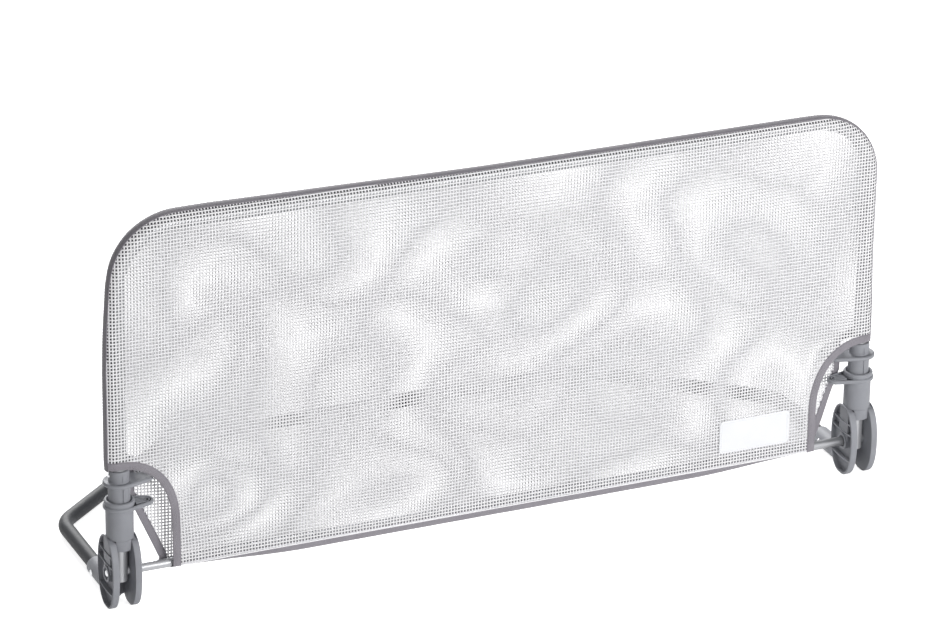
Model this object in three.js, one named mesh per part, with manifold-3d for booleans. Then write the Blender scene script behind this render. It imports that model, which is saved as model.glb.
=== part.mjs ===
// Folding bed guard rail. A bent tube carries a bag-like mesh cover and hinges on a crossbar
// between two bracket forks. A tubular foot frame runs back from the forks under the mattress.
// On each post a sprung lock sleeve drops between the fork's cheeks, and a finger plate above it
// is squeezed against the sleeve's own plate to lift it, so that the guard can swing down.
// Millimetres. X runs along the rail, Y points back under the mattress, and Z is up.
import * as THREE from 'three';
import { mergeVertices } from 'three/addons/utils/BufferGeometryUtils.js';
import Module from 'manifold-3d';

const wasm = await Module();
wasm.setup();

// Fits and tools
const clearance = 0.3;
const runningFit = 0.7;
const overrun = 6;

// Guard frame: two posts and a top tube in one bend
const postSpacing = 860;
const postRadius = 8;
const tubeWall = 1.2;
const postBendRadius = 66;
const topAxisHeight = 383.5;
const postTail = 9.5;
const bushTop = 12;

// Crossbar, and the screws that hold it between the outer cheeks
const crossbarRadius = 5;
const crossbarSeatDepth = 2.6;
const screwShankRadius = 2;
const screwShankLength = 14;
const screwHeadRadius = 4;
const screwHeadHeight = 3.4;

// Bracket fork: two cheeks, a web behind the post and a socket for the foot frame
const axisHeight = 39;
const cheekThickness = 7.5;
const cheekFront = 23.4;
const cheekBack = 25.4;
const cheekTop = 43.3;
const cheekBottom = 39.6;
const cheekRimWidth = 2;
const cheekRecessDepth = 4.2;
const ribThickness = 1.6;
const ribSag = 1.8;
const upperRibHeight = 24.5;
const middleRibHeight = 12.5;
const lowerRibHeight = -19;
const nestPanelWidth = 20;
const nestPanelDrop = 1.6;
const bossRadius = 9.3;
const bossPocketRadius = 6.4;
const bossPocketDepth = 2.8;
const webFront = 15.8;
const webThickness = 6;
const webTop = 20;
const webBottom = 36;
const socketRadius = 10.5;
const socketMouth = 78;
const socketFloor = 32;

// Foot frame: two bent tubes on an inner coupler
const footRadius = 8;
const footAxisDrop = 29.5;
const footLevelEnd = 85;
const footBendRadius = 38;
const footFirstBendBack = 184;
const footRearBack = 338;
const footRearHalf = 250;
const leftFootEnd = 114.5;
const rightFootEnd = 150;
const couplerGrip = 50;
const socketRivetRadius = 1.9;
const socketRivetHeadRadius = 3.4;
const socketRivetHeadHeight = 1.5;
const socketRivetBack = 62;

// Fixed inner sleeve with the upper finger plate
const sleeveRadius = 11.65;
const sleeveNeckRadius = 10.9;
const sleeveBottom = 68;
const sleeveTop = 118;
const upperPlateBottom = 101;
const upperPlateThickness = 4.5;
const slotWidth = 1.2;
const slotDepth = 0.9;
const sleeveRivetHeight = 112;
const sleeveRivetRadius = 1.7;
const sleeveRivetHeadRadius = 2.8;
const sleeveRivetHeadHeight = 1.5;

// Sliding lock sleeve with the lower finger plate
const collarRadius = 14.7;
const collarBottom = 28.6;
const collarFlatsTop = 40.6;
const collarLedgeTop = 44.2;
const collarPlateBottom = 74;
const collarPlateThickness = 4.5;
const collarRimRadius = 16.2;
const collarTop = 84;
const wingPadHeight = 2.2;
const wingGrooveDepth = 1.8;
const wingGrooveWidth = 1.3;
const wingGrooveStart = 2.2;
const wingGrooveStep = 2.7;

// Finger plates: a ring round the post that runs out into a rounded wing
const plateRingRadius = 17.2;
const wingReach = 37;
const wingTipRadius = 9.5;

// Return spring in the lock sleeve
const springWireRadius = 0.6;
const springTurns = 6;
const springStepsPerTurn = 8;
const springSides = 5;

// Cover
const panelThickness = 0.8;
const gussetThickness = 1.5;
const seamInset = 3;
const coverBase = 0.3;
const bindingWidth = 9;
const bindingThickness = 1.8;
const frontCutDepth = 55;
const frontCutTop = 120;
const frontCutStraight = 45;
const frontCutCentre = -5;
const rearCutFoot = 46;
const rearCutFootRise = 3;
const rearCutNeck = 14;
const rearCutNeckHeight = 80;
const rearCutTop = 120;
const rearCutCorner = 6;
const rearBulgeSpread = 46;
const rearBulgeStart = 60;
const rearBulgeEnd = 107;
const rearBulgeFade = 20;
const rearStep = 14;
const hemStripDepth = 6.8;
const hemStripSag = 6;

// Plain patch sewn on the front panel
const patchWidth = 85;
const patchHeight = 39;
const patchCorner = 5;
const patchThickness = 0.8;
const patchFromPost = 130;
const patchCentreZ = 34.6;

// Curve fineness and outline powers
const tubeSides = 12;
const roundSides = 24;
const fastenerSides = 8;
const bendSteps = 5;
const cheekPower = 2.3;
const cutPower = 2.3;
const plateSegments = 6;
const bulgeSteps = 4;

// Derived places
const postX = postSpacing / 2;
const forkHalf = postRadius + runningFit;
const cheekOuter = forkHalf + cheekThickness;
const crossbarBore = crossbarRadius + clearance;
const seatFace = forkHalf + crossbarSeatDepth;
const pocketFace = cheekOuter - bossPocketDepth;
const springTop = sleeveBottom - clearance;
const springBottom = collarLedgeTop + clearance;
const collarTravel = upperPlateBottom - collarTop - clearance;
const panelInner = postRadius + clearance;
const panelOuter = panelInner + panelThickness;
const gussetInner = postX + postRadius + clearance;
const gussetOuter = gussetInner + gussetThickness;
const coverEdge = gussetOuter - seamInset;
const coverCrown = topAxisHeight + (coverEdge - postX);
const coverCorner = postBendRadius + (coverEdge - postX);

// Solids from three.js geometries
function solidOf(geometry) {
  const bare = geometry.clone();
  bare.deleteAttribute('normal');
  bare.deleteAttribute('uv');
  const merged = mergeVertices(bare);
  const corners = merged.index.array;
  const kept = [];
  for (let i = 0; i < corners.length; i += 3) {
    const [a, b, c] = [corners[i], corners[i + 1], corners[i + 2]];
    if (a !== b && b !== c && c !== a) kept.push(a, b, c);
  }
  const mesh = new wasm.Mesh({
    numProp: 3,
    vertProperties: new Float32Array(merged.attributes.position.array),
    triVerts: new Uint32Array(kept),
  });
  return new wasm.Manifold(mesh);
}

function geometryOf(solid) {
  const mesh = solid.getMesh();
  const geometry = new THREE.BufferGeometry();
  geometry.setAttribute('position', new THREE.BufferAttribute(mesh.vertProperties, mesh.numProp));
  geometry.setIndex(new THREE.BufferAttribute(mesh.triVerts, 1));
  return geometry;
}

function join(first, ...others) {
  return others.reduce((whole, other) => whole.add(other), first);
}

function cut(first, ...tools) {
  return tools.reduce((rest, tool) => rest.subtract(tool), first);
}

const toX = new THREE.Matrix4().makeBasis(
  new THREE.Vector3(0, 1, 0), new THREE.Vector3(0, 0, 1), new THREE.Vector3(1, 0, 0));
const toY = new THREE.Matrix4().makeBasis(
  new THREE.Vector3(1, 0, 0), new THREE.Vector3(0, 0, 1), new THREE.Vector3(0, -1, 0));

function extruded(shape, depth, segments = plateSegments) {
  return new THREE.ExtrudeGeometry(shape, { depth, bevelEnabled: false, curveSegments: segments });
}

// A prism along X from a shape drawn in Y and Z
function prismX(shape, from, to) {
  const low = Math.min(from, to);
  return extruded(shape, Math.abs(to - from)).applyMatrix4(toX).translate(low, 0, 0);
}

// A prism along Y from a shape drawn in X and Z
function prismY(shape, from, to) {
  return extruded(shape, to - from).applyMatrix4(toY).translate(0, to, 0);
}

function prismZ(shape, from, to) {
  return extruded(shape, to - from).translate(0, 0, from);
}

function rod(axis, radius, from, to, sides = roundSides) {
  const geometry = new THREE.CylinderGeometry(radius, radius, to - from, sides);
  geometry.translate(0, (from + to) / 2, 0);
  if (axis === 'x') geometry.rotateZ(-Math.PI / 2);
  if (axis === 'z') geometry.rotateX(Math.PI / 2);
  return geometry;
}

function block(x0, x1, y0, y1, z0, z1) {
  const geometry = new THREE.BoxGeometry(x1 - x0, y1 - y0, z1 - z0);
  return geometry.translate((x0 + x1) / 2, (y0 + y1) / 2, (z0 + z1) / 2);
}

// A turned solid. The profile lists [radius, place along the axis] from its low end to its high end.
function turned(axis, profile, sides = roundSides) {
  const points = profile.map(([radius, along]) => new THREE.Vector2(radius, along));
  const geometry = new THREE.LatheGeometry(points, sides);
  if (axis === 'x') geometry.rotateZ(-Math.PI / 2);
  if (axis === 'z') geometry.rotateX(Math.PI / 2);
  return geometry;
}

function shapeOf(points) {
  return new THREE.Shape(points.map(([x, y]) => new THREE.Vector2(x, y)));
}

// A route through given points, one sweep step between each pair
class Route extends THREE.Curve {
  constructor(points) {
    super();
    this.points = points.map((point) => new THREE.Vector3(...point));
  }

  getPoint(share) {
    return this.points[Math.round(share * (this.points.length - 1))].clone();
  }

  getPointAt(share) {
    return this.getPoint(share);
  }

  getTangent(share) {
    const last = this.points.length - 1;
    const here = Math.round(share * last);
    const before = this.points[Math.max(here - 1, 0)];
    const after = this.points[Math.min(here + 1, last)];
    const middle = this.points[here];
    const arriving = middle.clone().sub(before).normalize();
    const leaving = after.clone().sub(middle).normalize();
    return arriving.add(leaving).normalize();
  }

  getTangentAt(share) {
    return this.getTangent(share);
  }
}

function tubeAlong(points, outerRadius, innerRadius) {
  const ring = new THREE.Shape().absarc(0, 0, outerRadius, 0, 2 * Math.PI);
  ring.holes.push(new THREE.Path().absarc(0, 0, innerRadius, 0, 2 * Math.PI, true));
  return new THREE.ExtrudeGeometry(ring, {
    steps: points.length - 1,
    curveSegments: tubeSides / 2,
    extrudePath: new Route(points),
    bevelEnabled: false,
  });
}

// Corner points of a flat route, with each inner corner rounded to a radius
function rounded(corners, radius) {
  const route = [corners[0]];
  for (let i = 1; i < corners.length - 1; i += 1) {
    const corner = new THREE.Vector2(...corners[i]);
    const back = new THREE.Vector2(...corners[i - 1]).sub(corner).normalize();
    const ahead = new THREE.Vector2(...corners[i + 1]).sub(corner).normalize();
    const half = back.angleTo(ahead) / 2;
    const toCentre = back.clone().add(ahead).normalize().multiplyScalar(radius / Math.sin(half));
    const centre = corner.clone().add(toCentre);
    const start = back.clone().multiplyScalar(radius / Math.tan(half)).add(corner).sub(centre);
    const turn = (Math.PI - 2 * half) * Math.sign(ahead.cross(back));
    for (let step = 0; step <= bendSteps; step += 1) {
      const arm = start.clone().rotateAround(new THREE.Vector2(), (turn * step) / bendSteps);
      route.push([centre.x + arm.x, centre.y + arm.y]);
    }
  }
  route.push(corners[corners.length - 1]);
  return route;
}

// The same open outline moved sideways by a distance, to the left of its direction
function beside(path, distance) {
  return path.map((point, i) => {
    const here = new THREE.Vector2(...point);
    const before = new THREE.Vector2(...path[Math.max(i - 1, 0)]);
    const after = new THREE.Vector2(...path[Math.min(i + 1, path.length - 1)]);
    const first = i > 0 ? here.clone().sub(before).normalize() : after.clone().sub(here).normalize();
    const second = i < path.length - 1 ? after.clone().sub(here).normalize() : first.clone();
    const along = first.clone().add(second).normalize();
    const stretch = 1 / Math.max(along.dot(first), 0.5);
    return [here.x - along.y * distance * stretch, here.y + along.x * distance * stretch];
  });
}

// The same path with extra points, so that no stretch is longer than a given length
function stepped(path, longest) {
  const points = [path[0]];
  for (let i = 1; i < path.length; i += 1) {
    const [x0, y0] = path[i - 1];
    const [x1, y1] = path[i];
    const count = Math.ceil(Math.hypot(x1 - x0, y1 - y0) / longest);
    for (let step = 1; step <= count; step += 1) {
      const share = step / count;
      points.push([x0 + (x1 - x0) * share, y0 + (y1 - y0) * share]);
    }
  }
  return points;
}

// A flat strip between two edges drawn in X and Z, with as many points on each edge
function strip(inner, outer, from, to) {
  const corners = inner.flatMap(([x, z], i) => {
    const [u, w] = outer[i];
    return [x, from, z, u, from, w, u, to, w, x, to, z];
  });
  const last = 4 * (inner.length - 1);
  const faces = [0, 3, 2, 0, 2, 1, last, last + 1, last + 2, last, last + 2, last + 3];
  for (let start = 0; start < last; start += 4) {
    for (let k = 0; k < 4; k += 1) {
      const [a, b] = [start + k, start + ((k + 1) % 4)];
      faces.push(a, b, b + 4, a, b + 4, a + 4);
    }
  }
  const geometry = new THREE.BufferGeometry();
  geometry.setAttribute('position', new THREE.Float32BufferAttribute(corners, 3));
  geometry.setIndex(faces);
  return geometry;
}

// Fork bracket, drawn round its own post at X = 0. outward is the side of the outer cheek.
function cheekOutline(inset) {
  const centreY = (cheekBack - cheekFront) / 2;
  const centreZ = (cheekTop - cheekBottom) / 2;
  const halfY = (cheekBack + cheekFront) / 2 - inset;
  const halfZ = (cheekTop + cheekBottom) / 2 - inset;
  const points = [];
  for (let i = 0; i < roundSides; i += 1) {
    const angle = (2 * Math.PI * i) / roundSides;
    const [c, s] = [Math.cos(angle), Math.sin(angle)];
    const y = centreY + halfY * Math.sign(c) * Math.abs(c) ** (2 / cheekPower);
    const z = centreZ + halfZ * Math.sign(s) * Math.abs(s) ** (2 / cheekPower);
    points.push([y, z]);
  }
  return shapeOf(points);
}

function ribOutline(height) {
  const lower = [];
  for (let i = -bendSteps; i <= bendSteps; i += 1) {
    const share = i / bendSteps;
    lower.push([share * cheekBack, height - ribSag * (1 - share * share)]);
  }
  const upper = lower.map(([y, z]) => [y, z + ribThickness]).reverse();
  return shapeOf([...lower, ...upper]);
}

function cheek(facing, boreOpen) {
  const near = facing * forkHalf;
  const far = facing * cheekOuter;
  const past = far + facing * overrun;
  const recessFloor = far - facing * cheekRecessDepth;
  const panel = shapeOf([
    [-nestPanelWidth / 2, 0], [nestPanelWidth / 2, 0],
    [nestPanelWidth / 2, cheekTop], [-nestPanelWidth / 2, cheekTop]]);
  const boss = new THREE.Shape().absarc(0, 0, bossRadius, 0, 2 * Math.PI);
  const ribs = [upperRibHeight, middleRibHeight, lowerRibHeight].map(ribOutline);
  const panelFace = far - facing * nestPanelDrop;
  const recess = cut(
    solidOf(prismX(cheekOutline(cheekRimWidth), recessFloor, past)),
    solidOf(prismX(panel, near, panelFace)),
    ...[boss, ...ribs].map((shape) => solidOf(prismX(shape, near, past + facing * overrun))));
  const pocket = new THREE.Shape().absarc(0, 0, bossPocketRadius, 0, 2 * Math.PI);
  const bore = new THREE.Shape().absarc(0, 0, crossbarBore, 0, 2 * Math.PI);
  const screwHole = new THREE.Shape().absarc(0, 0, screwShankRadius + clearance, 0, 2 * Math.PI);
  const boreEnd = boreOpen ? past : facing * seatFace;
  return cut(
    solidOf(prismX(cheekOutline(0), near, far)),
    recess,
    solidOf(prismX(pocket, facing * pocketFace, past)),
    solidOf(prismX(bore, near - facing * overrun, boreEnd)),
    solidOf(prismX(screwHole, near, past)));
}

function forkBracket(outward) {
  const lap = forkHalf + clearance;
  const web = block(-lap, lap, webFront, webFront + webThickness, -webBottom, webTop);
  const socket = rod('y', socketRadius, webFront + overrun / 2, socketMouth).translate(0, 0, -footAxisDrop);
  const bore = rod('y', footRadius + clearance, socketFloor, socketMouth + overrun);
  const rivetHole = rod('x', socketRivetRadius + clearance, -cheekOuter, cheekOuter, fastenerSides);
  const front = -cheekFront - overrun;
  const underFloor = block(
    -cheekOuter, cheekOuter, front, socketMouth + overrun, -axisHeight - overrun, -axisHeight);
  // The lock sleeve's round part swings forward and down over the cheeks, inside this ring
  const behind = collarRadius + clearance;
  const far = collarFlatsTop + 2 * overrun;
  const ring = turned('x', [
    [collarFlatsTop - clearance, -collarRadius - clearance],
    [collarFlatsTop + overrun, -collarRadius - clearance],
    [collarFlatsTop + overrun, collarRadius + clearance],
    [collarFlatsTop - clearance, collarRadius + clearance],
    [collarFlatsTop - clearance, -collarRadius - clearance]]);
  const swept = cut(solidOf(ring), solidOf(block(-far, far, behind, far, -far, far)));
  const whole = join(cheek(outward, false), cheek(-outward, true), solidOf(web), solidOf(socket));
  return cut(whole,
    solidOf(bore.translate(0, 0, -footAxisDrop)),
    solidOf(rivetHole.translate(0, socketRivetBack, -footAxisDrop)),
    solidOf(underFloor),
    swept);
}

// Finger plate outline: the ring round the post and the wing on its +X side
function plateOutline(ringRadius, tipRadius) {
  const tipCentre = wingReach - wingTipRadius;
  const angle = Math.acos((ringRadius - tipRadius) / tipCentre);
  return new THREE.Shape()
    .absarc(tipCentre, 0, tipRadius, -angle, angle)
    .absarc(0, 0, ringRadius, angle, 2 * Math.PI - angle);
}

function wingGroove(number) {
  const centre = wingReach - wingTipRadius;
  const inner = wingGrooveStart + number * wingGrooveStep;
  const start = collarRimRadius + wingGrooveWidth + inner;
  const loop = (shape, radius) => shape
    .absarc(Math.max(centre, start), 0, radius, -Math.PI / 2, Math.PI / 2)
    .absarc(start, 0, radius, Math.PI / 2, 1.5 * Math.PI);
  const groove = loop(new THREE.Shape(), inner + wingGrooveWidth);
  groove.holes.push(loop(new THREE.Path(), inner));
  return groove;
}

function slots(radius, from, to) {
  const inner = radius - slotDepth;
  const outer = radius + overrun;
  const half = slotWidth / 2;
  return [
    block(inner, outer, -half, half, from, to),
    block(-outer, -inner, -half, half, from, to),
    block(-half, half, inner, outer, from, to),
    block(-half, half, -outer, -inner, from, to)].map(solidOf);
}

function innerSleeve() {
  const plateTop = upperPlateBottom + upperPlateThickness;
  const body = join(
    solidOf(rod('z', sleeveRadius, sleeveBottom, upperPlateBottom + overrun / 2)),
    solidOf(rod('z', sleeveNeckRadius, upperPlateBottom, sleeveTop)),
    solidOf(prismZ(plateOutline(plateRingRadius, wingTipRadius), upperPlateBottom, plateTop)));
  const rivetHole = rod('x', sleeveRivetRadius + clearance, -sleeveRadius - overrun, 0, fastenerSides);
  return cut(body,
    solidOf(rod('z', postRadius + clearance, sleeveBottom - overrun, sleeveTop + overrun)),
    solidOf(rivetHole.translate(0, 0, sleeveRivetHeight)),
    ...slots(sleeveRadius, sleeveBottom + overrun, upperPlateBottom - slotWidth));
}

function lockSleeve() {
  const plateTop = collarPlateBottom + collarPlateThickness;
  const padTop = plateTop + wingPadHeight;
  const padBase = plateTop - clearance;
  const pad = plateOutline(collarRimRadius, wingTipRadius - wingGrooveWidth);
  const bore = sleeveRadius + clearance;
  const flats = postRadius + runningFit - clearance;
  const grooves = [0, 1].map((number) =>
    solidOf(prismZ(wingGroove(number), padTop - wingGrooveDepth, padTop + overrun)));
  const body = join(
    solidOf(rod('z', collarRadius, collarBottom, collarTop - overrun / 2)),
    solidOf(rod('z', collarRimRadius, padBase, collarTop)),
    solidOf(prismZ(plateOutline(plateRingRadius, wingTipRadius), collarPlateBottom, plateTop)),
    solidOf(prismZ(pad, padBase, padTop)));
  const wide = collarRadius + overrun;
  return cut(body,
    solidOf(rod('z', bore, collarLedgeTop, collarTop + overrun)),
    solidOf(rod('z', postRadius + 2 * clearance, collarBottom - overrun, collarLedgeTop + overrun)),
    solidOf(block(flats, wide, -wide, wide, collarBottom - overrun, collarFlatsTop)),
    solidOf(block(-wide, -flats, -wide, wide, collarBottom - overrun, collarFlatsTop)),
    ...grooves);
}

// Return spring: one unbroken wire, a ring of corners at each step of the helix
function helixPoints() {
  const radius = (postRadius + sleeveRadius) / 2 + clearance;
  const rise = springTop - springBottom - 2 * springWireRadius;
  const steps = springTurns * springStepsPerTurn;
  const points = [];
  for (let i = 0; i <= steps; i += 1) {
    const angle = (2 * Math.PI * springTurns * i) / steps;
    const z = springBottom + springWireRadius + (rise * i) / steps;
    points.push([radius * Math.cos(angle), radius * Math.sin(angle), z]);
  }
  return points;
}

function returnSpring() {
  const section = new THREE.Shape();
  for (let i = 0; i < springSides; i += 1) {
    const angle = (2 * Math.PI * i) / springSides;
    const [x, y] = [springWireRadius * Math.cos(angle), springWireRadius * Math.sin(angle)];
    if (i === 0) section.moveTo(x, y);
    else section.lineTo(x, y);
  }
  const points = helixPoints();
  return new THREE.ExtrudeGeometry(section, {
    steps: points.length - 1,
    extrudePath: new Route(points),
    bevelEnabled: false,
  });
}

function leastSpringGap() {
  const points = helixPoints().map((point) => new THREE.Vector3(...point));
  const half = springStepsPerTurn / 2;
  let least = Infinity;
  for (let i = 0; i < points.length; i += 1) {
    for (let j = i + half; j < points.length; j += 1) {
      least = Math.min(least, points[i].distanceTo(points[j]));
    }
  }
  return least - 2 * springWireRadius;
}

// Domed rivet or screw along X, its head's flat side at X = 0 and its head on the -X side
function domed(shankRadius, shankLength, headRadius, headHeight) {
  const dome = [[0, -headHeight]];
  for (let i = 1; i <= bendSteps; i += 1) {
    const angle = (Math.PI / 2) * (i / bendSteps);
    dome.push([headRadius * Math.sin(angle), -headHeight * Math.cos(angle)]);
  }
  const shank = [[shankRadius, 0], [shankRadius, shankLength], [0, shankLength]];
  return turned('x', [...dome, ...shank], fastenerSides);
}

function axleScrew() {
  return domed(screwShankRadius, screwShankLength, screwHeadRadius, screwHeadHeight);
}

function sleeveRivet() {
  const grip = sleeveNeckRadius - postRadius + 2 * tubeWall;
  return domed(sleeveRivetRadius, grip, sleeveRivetHeadRadius, sleeveRivetHeadHeight);
}

function socketRivet() {
  const reach = socketRadius + clearance;
  const head = reach + socketRivetHeadHeight;
  return turned('x', [
    [0, -head], [socketRivetHeadRadius / 2, -head], [socketRivetHeadRadius, -reach],
    [socketRivetRadius, -reach], [socketRivetRadius, reach], [socketRivetHeadRadius, reach],
    [socketRivetHeadRadius / 2, head], [0, head]], fastenerSides);
}

// Guard frame tube with its two pivot holes and two rivet holes
function guardTube() {
  const corners = [
    [-postX, -postTail], [-postX, topAxisHeight], [postX, topAxisHeight], [postX, -postTail]];
  const route = rounded(corners, postBendRadius);
  const tube = tubeAlong(route.map(([x, z]) => [x, 0, z]), postRadius, postRadius - tubeWall);
  const holes = [-1, 1].flatMap((side) => {
    const past = postRadius + overrun;
    const pivot = rod('x', crossbarBore, -past, past, tubeSides);
    const rivet = rod('x', sleeveRivetRadius + clearance, 0, past, fastenerSides);
    if (side < 0) rivet.rotateZ(Math.PI);
    return [
      solidOf(pivot.translate(side * postX, 0, 0)),
      solidOf(rivet.translate(side * postX, 0, sleeveRivetHeight))];
  });
  return cut(solidOf(tube), ...holes);
}

// Bush in a post's open end, drilled across for the crossbar
function pivotBush() {
  const plug = rod('z', postRadius - tubeWall - clearance, -postTail, bushTop, tubeSides);
  return cut(solidOf(plug), solidOf(rod('x', crossbarBore, -postRadius, postRadius, tubeSides)));
}

function crossbar() {
  const end = postX + seatFace - clearance;
  const hole = screwShankRadius + clearance;
  const floor = end - screwShankLength;
  return turned('x', [
    [0, -floor], [hole, -floor], [hole, -end], [crossbarRadius, -end],
    [crossbarRadius, end], [hole, end], [hole, floor], [0, floor]], tubeSides);
}

// Foot frame: each half drops a little from its socket so that the rear bar lies on the floor
function footHeight(back) {
  const rearDrop = axisHeight - footRadius;
  const share = Math.max(back - footLevelEnd, 0) / (footRearBack - footLevelEnd);
  return -footAxisDrop - (rearDrop - footAxisDrop) * share;
}

function footTube(side, endX) {
  const start = socketFloor + clearance;
  const corners = [
    [side * postX, footLevelEnd], [side * postX, footFirstBendBack],
    [side * footRearHalf, footRearBack], [endX, footRearBack]];
  const route = [[side * postX, start], ...rounded(corners, footBendRadius)];
  const tube = tubeAlong(route.map(([x, y]) => [x, y, footHeight(y)]), footRadius, footRadius - tubeWall);
  const past = footRadius + overrun;
  const hole = rod('x', socketRivetRadius + clearance, -past, past, fastenerSides);
  return cut(solidOf(tube), solidOf(hole.translate(side * postX, socketRivetBack, -footAxisDrop)));
}

function footCoupler() {
  const radius = footRadius - tubeWall - clearance;
  const route = [leftFootEnd - couplerGrip, rightFootEnd + couplerGrip]
    .map((x) => [x, footRearBack, footHeight(footRearBack)]);
  return tubeAlong(route, radius, radius - tubeWall);
}

// Cover outlines in X and Z, drawn for the left hinge as distances inward from the post
function frontCut() {
  const reach = frontCutDepth - frontCutCentre;
  const rise = frontCutTop - frontCutStraight;
  const points = [[frontCutDepth, coverBase]];
  for (let i = 0; i <= 2 * bendSteps; i += 1) {
    const angle = (Math.PI / 2) * (i / (2 * bendSteps));
    points.push([
      frontCutCentre + reach * Math.cos(angle) ** (2 / cutPower),
      frontCutStraight + rise * Math.sin(angle) ** (2 / cutPower)]);
  }
  points.push([postX - coverEdge, frontCutTop]);
  return points;
}

function rearCut() {
  const foot = [[rearCutFoot, coverBase], [rearCutFoot, coverBase + rearCutFootRise]];
  const neck = [
    [rearCutNeck, rearCutNeckHeight], [rearCutNeck, rearCutTop], [postX - coverEdge, rearCutTop]];
  return stepped([...foot, ...rounded(neck, rearCutCorner)], rearStep);
}

function atLeft(path) {
  return path.map(([inward, z]) => [inward - postX, z]);
}

function atRight(path) {
  return atLeft(path).map(([x, z]) => [-x, z]).reverse();
}

// How far the rear panel stands back where it passes behind a finger plate
function rearBulge(x, z) {
  const inward = postX - Math.abs(x);
  const depth = plateRingRadius + 2 * clearance - panelInner;
  const across = THREE.MathUtils.clamp(1 - (inward - rearCutNeck) / rearBulgeSpread, 0, 1);
  const rising = THREE.MathUtils.smoothstep(z, 0, rearBulgeStart);
  const falling = 1 - THREE.MathUtils.smoothstep(z, rearBulgeEnd, rearBulgeEnd + rearBulgeFade);
  return depth * across * rising * falling;
}

function bulged(geometry) {
  const place = geometry.attributes.position;
  for (let i = 0; i < place.count; i += 1) {
    place.setY(i, place.getY(i) + rearBulge(place.getX(i), place.getZ(i)));
  }
  return geometry;
}

// A panel's outline above its two corner cuts
function panelOutline(cutPath) {
  const gap = bindingWidth + clearance;
  const left = atLeft(beside(cutPath, -gap));
  const right = atRight(beside(cutPath, -gap));
  const sideStart = left[left.length - 1][1];
  const crown = rounded([
    [-coverEdge, sideStart], [-coverEdge, coverCrown],
    [coverEdge, coverCrown], [coverEdge, sideStart]], coverCorner);
  return [...left.slice(0, -1), ...crown, ...right.slice(1)];
}

function frontPanel() {
  return prismY(shapeOf(panelOutline(frontCut())), -panelOuter, -panelInner);
}

// A sheet wider than the rear panel, in cells that meet on the lines where its bulge bends
function rearSheet() {
  const neck = postX - rearCutNeck;
  const far = coverEdge + overrun;
  const xs = [-far, -neck, rearBulgeSpread - neck, neck - rearBulgeSpread, neck, far];
  const shares = Array.from({ length: bulgeSteps + 1 }, (_, step) => step / bulgeSteps);
  const rising = shares.map((share) => rearBulgeStart * share);
  const falling = shares.map((share) => rearBulgeEnd + rearBulgeFade * share);
  const zs = [-overrun, ...rising, ...falling, coverCrown + overrun];
  const corners = xs.flatMap((x) => zs.flatMap((z) => {
    const near = panelInner + rearBulge(x, z);
    return [x, near, z, x, near + panelThickness, z];
  }));
  const column = 2 * zs.length;
  const last = corners.length / 3 - column;
  const top = column - 2;
  const faces = [];
  const face = (a, b, c, d) => faces.push(a, b, c, a, c, d);
  for (let low = 0; low < last; low += column) {
    for (let a = low; a < low + top; a += 2) {
      face(a, a + column, a + column + 2, a + 2);
      face(a + 1, a + 3, a + column + 3, a + column + 1);
    }
    face(low, low + 1, low + column + 1, low + column);
    face(low + top, low + top + column, low + top + column + 1, low + top + 1);
  }
  for (let a = 0; a < top; a += 2) {
    face(a, a + 2, a + 3, a + 1);
    face(last + a, last + a + 1, last + a + 3, last + a + 2);
  }
  const geometry = new THREE.BufferGeometry();
  geometry.setAttribute('position', new THREE.Float32BufferAttribute(corners, 3));
  geometry.setIndex(faces);
  return geometry;
}

function rearPanel() {
  const outline = prismY(shapeOf(panelOutline(rearCut())), 0, plateRingRadius + overrun);
  return solidOf(rearSheet()).intersect(solidOf(outline));
}

function binding(cutPath, place, from) {
  const outer = beside(cutPath, -bindingWidth);
  return strip(place(cutPath), place(outer), from, from + bindingThickness);
}

function gussetBand() {
  const band = (edge, radius) => rounded([
    [-edge, frontCutTop], [-edge, topAxisHeight + edge - postX],
    [edge, topAxisHeight + edge - postX], [edge, frontCutTop]], radius);
  const outer = band(gussetOuter, postBendRadius + gussetOuter - postX);
  const inner = band(gussetInner, postBendRadius + gussetInner - postX);
  return shapeOf([...outer, ...inner.reverse()]);
}

// Strip that closes the cover under the crossbar and sags between the hinges
function hemStrip() {
  const half = postX - frontCutDepth - clearance;
  const bowl = (reach, depth) => {
    const points = [];
    for (let i = 0; i <= bendSteps; i += 1) {
      const angle = Math.PI * (i / bendSteps);
      points.push([reach * Math.cos(angle), -depth * Math.sin(angle)]);
    }
    return points;
  };
  const section = shapeOf([
    ...bowl(panelOuter, hemStripDepth), ...bowl(panelInner, hemStripDepth - panelThickness).reverse()]);
  const sheet = new THREE.ExtrudeGeometry(section, {
    depth: 2 * half, steps: 2 * bendSteps, bevelEnabled: false,
  }).applyMatrix4(toX).translate(-half, 0, 0);
  const place = sheet.attributes.position;
  for (let i = 0; i < place.count; i += 1) {
    const share = place.getX(i) / half;
    const deepening = 1 + (hemStripSag / hemStripDepth) * (1 - share * share);
    place.setZ(i, place.getZ(i) * deepening);
  }
  return sheet;
}

function patch() {
  const [x, z] = [patchWidth / 2, patchHeight / 2];
  const corners = [[0, -z], [x, -z], [x, z], [-x, z], [-x, -z], [0, -z]];
  const outline = rounded(corners, patchCorner).slice(0, -1);
  const front = -panelOuter - clearance - patchThickness;
  const flat = prismY(shapeOf(outline), front, front + patchThickness);
  return flat.translate(postX - patchFromPost, 0, patchCentreZ);
}

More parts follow.
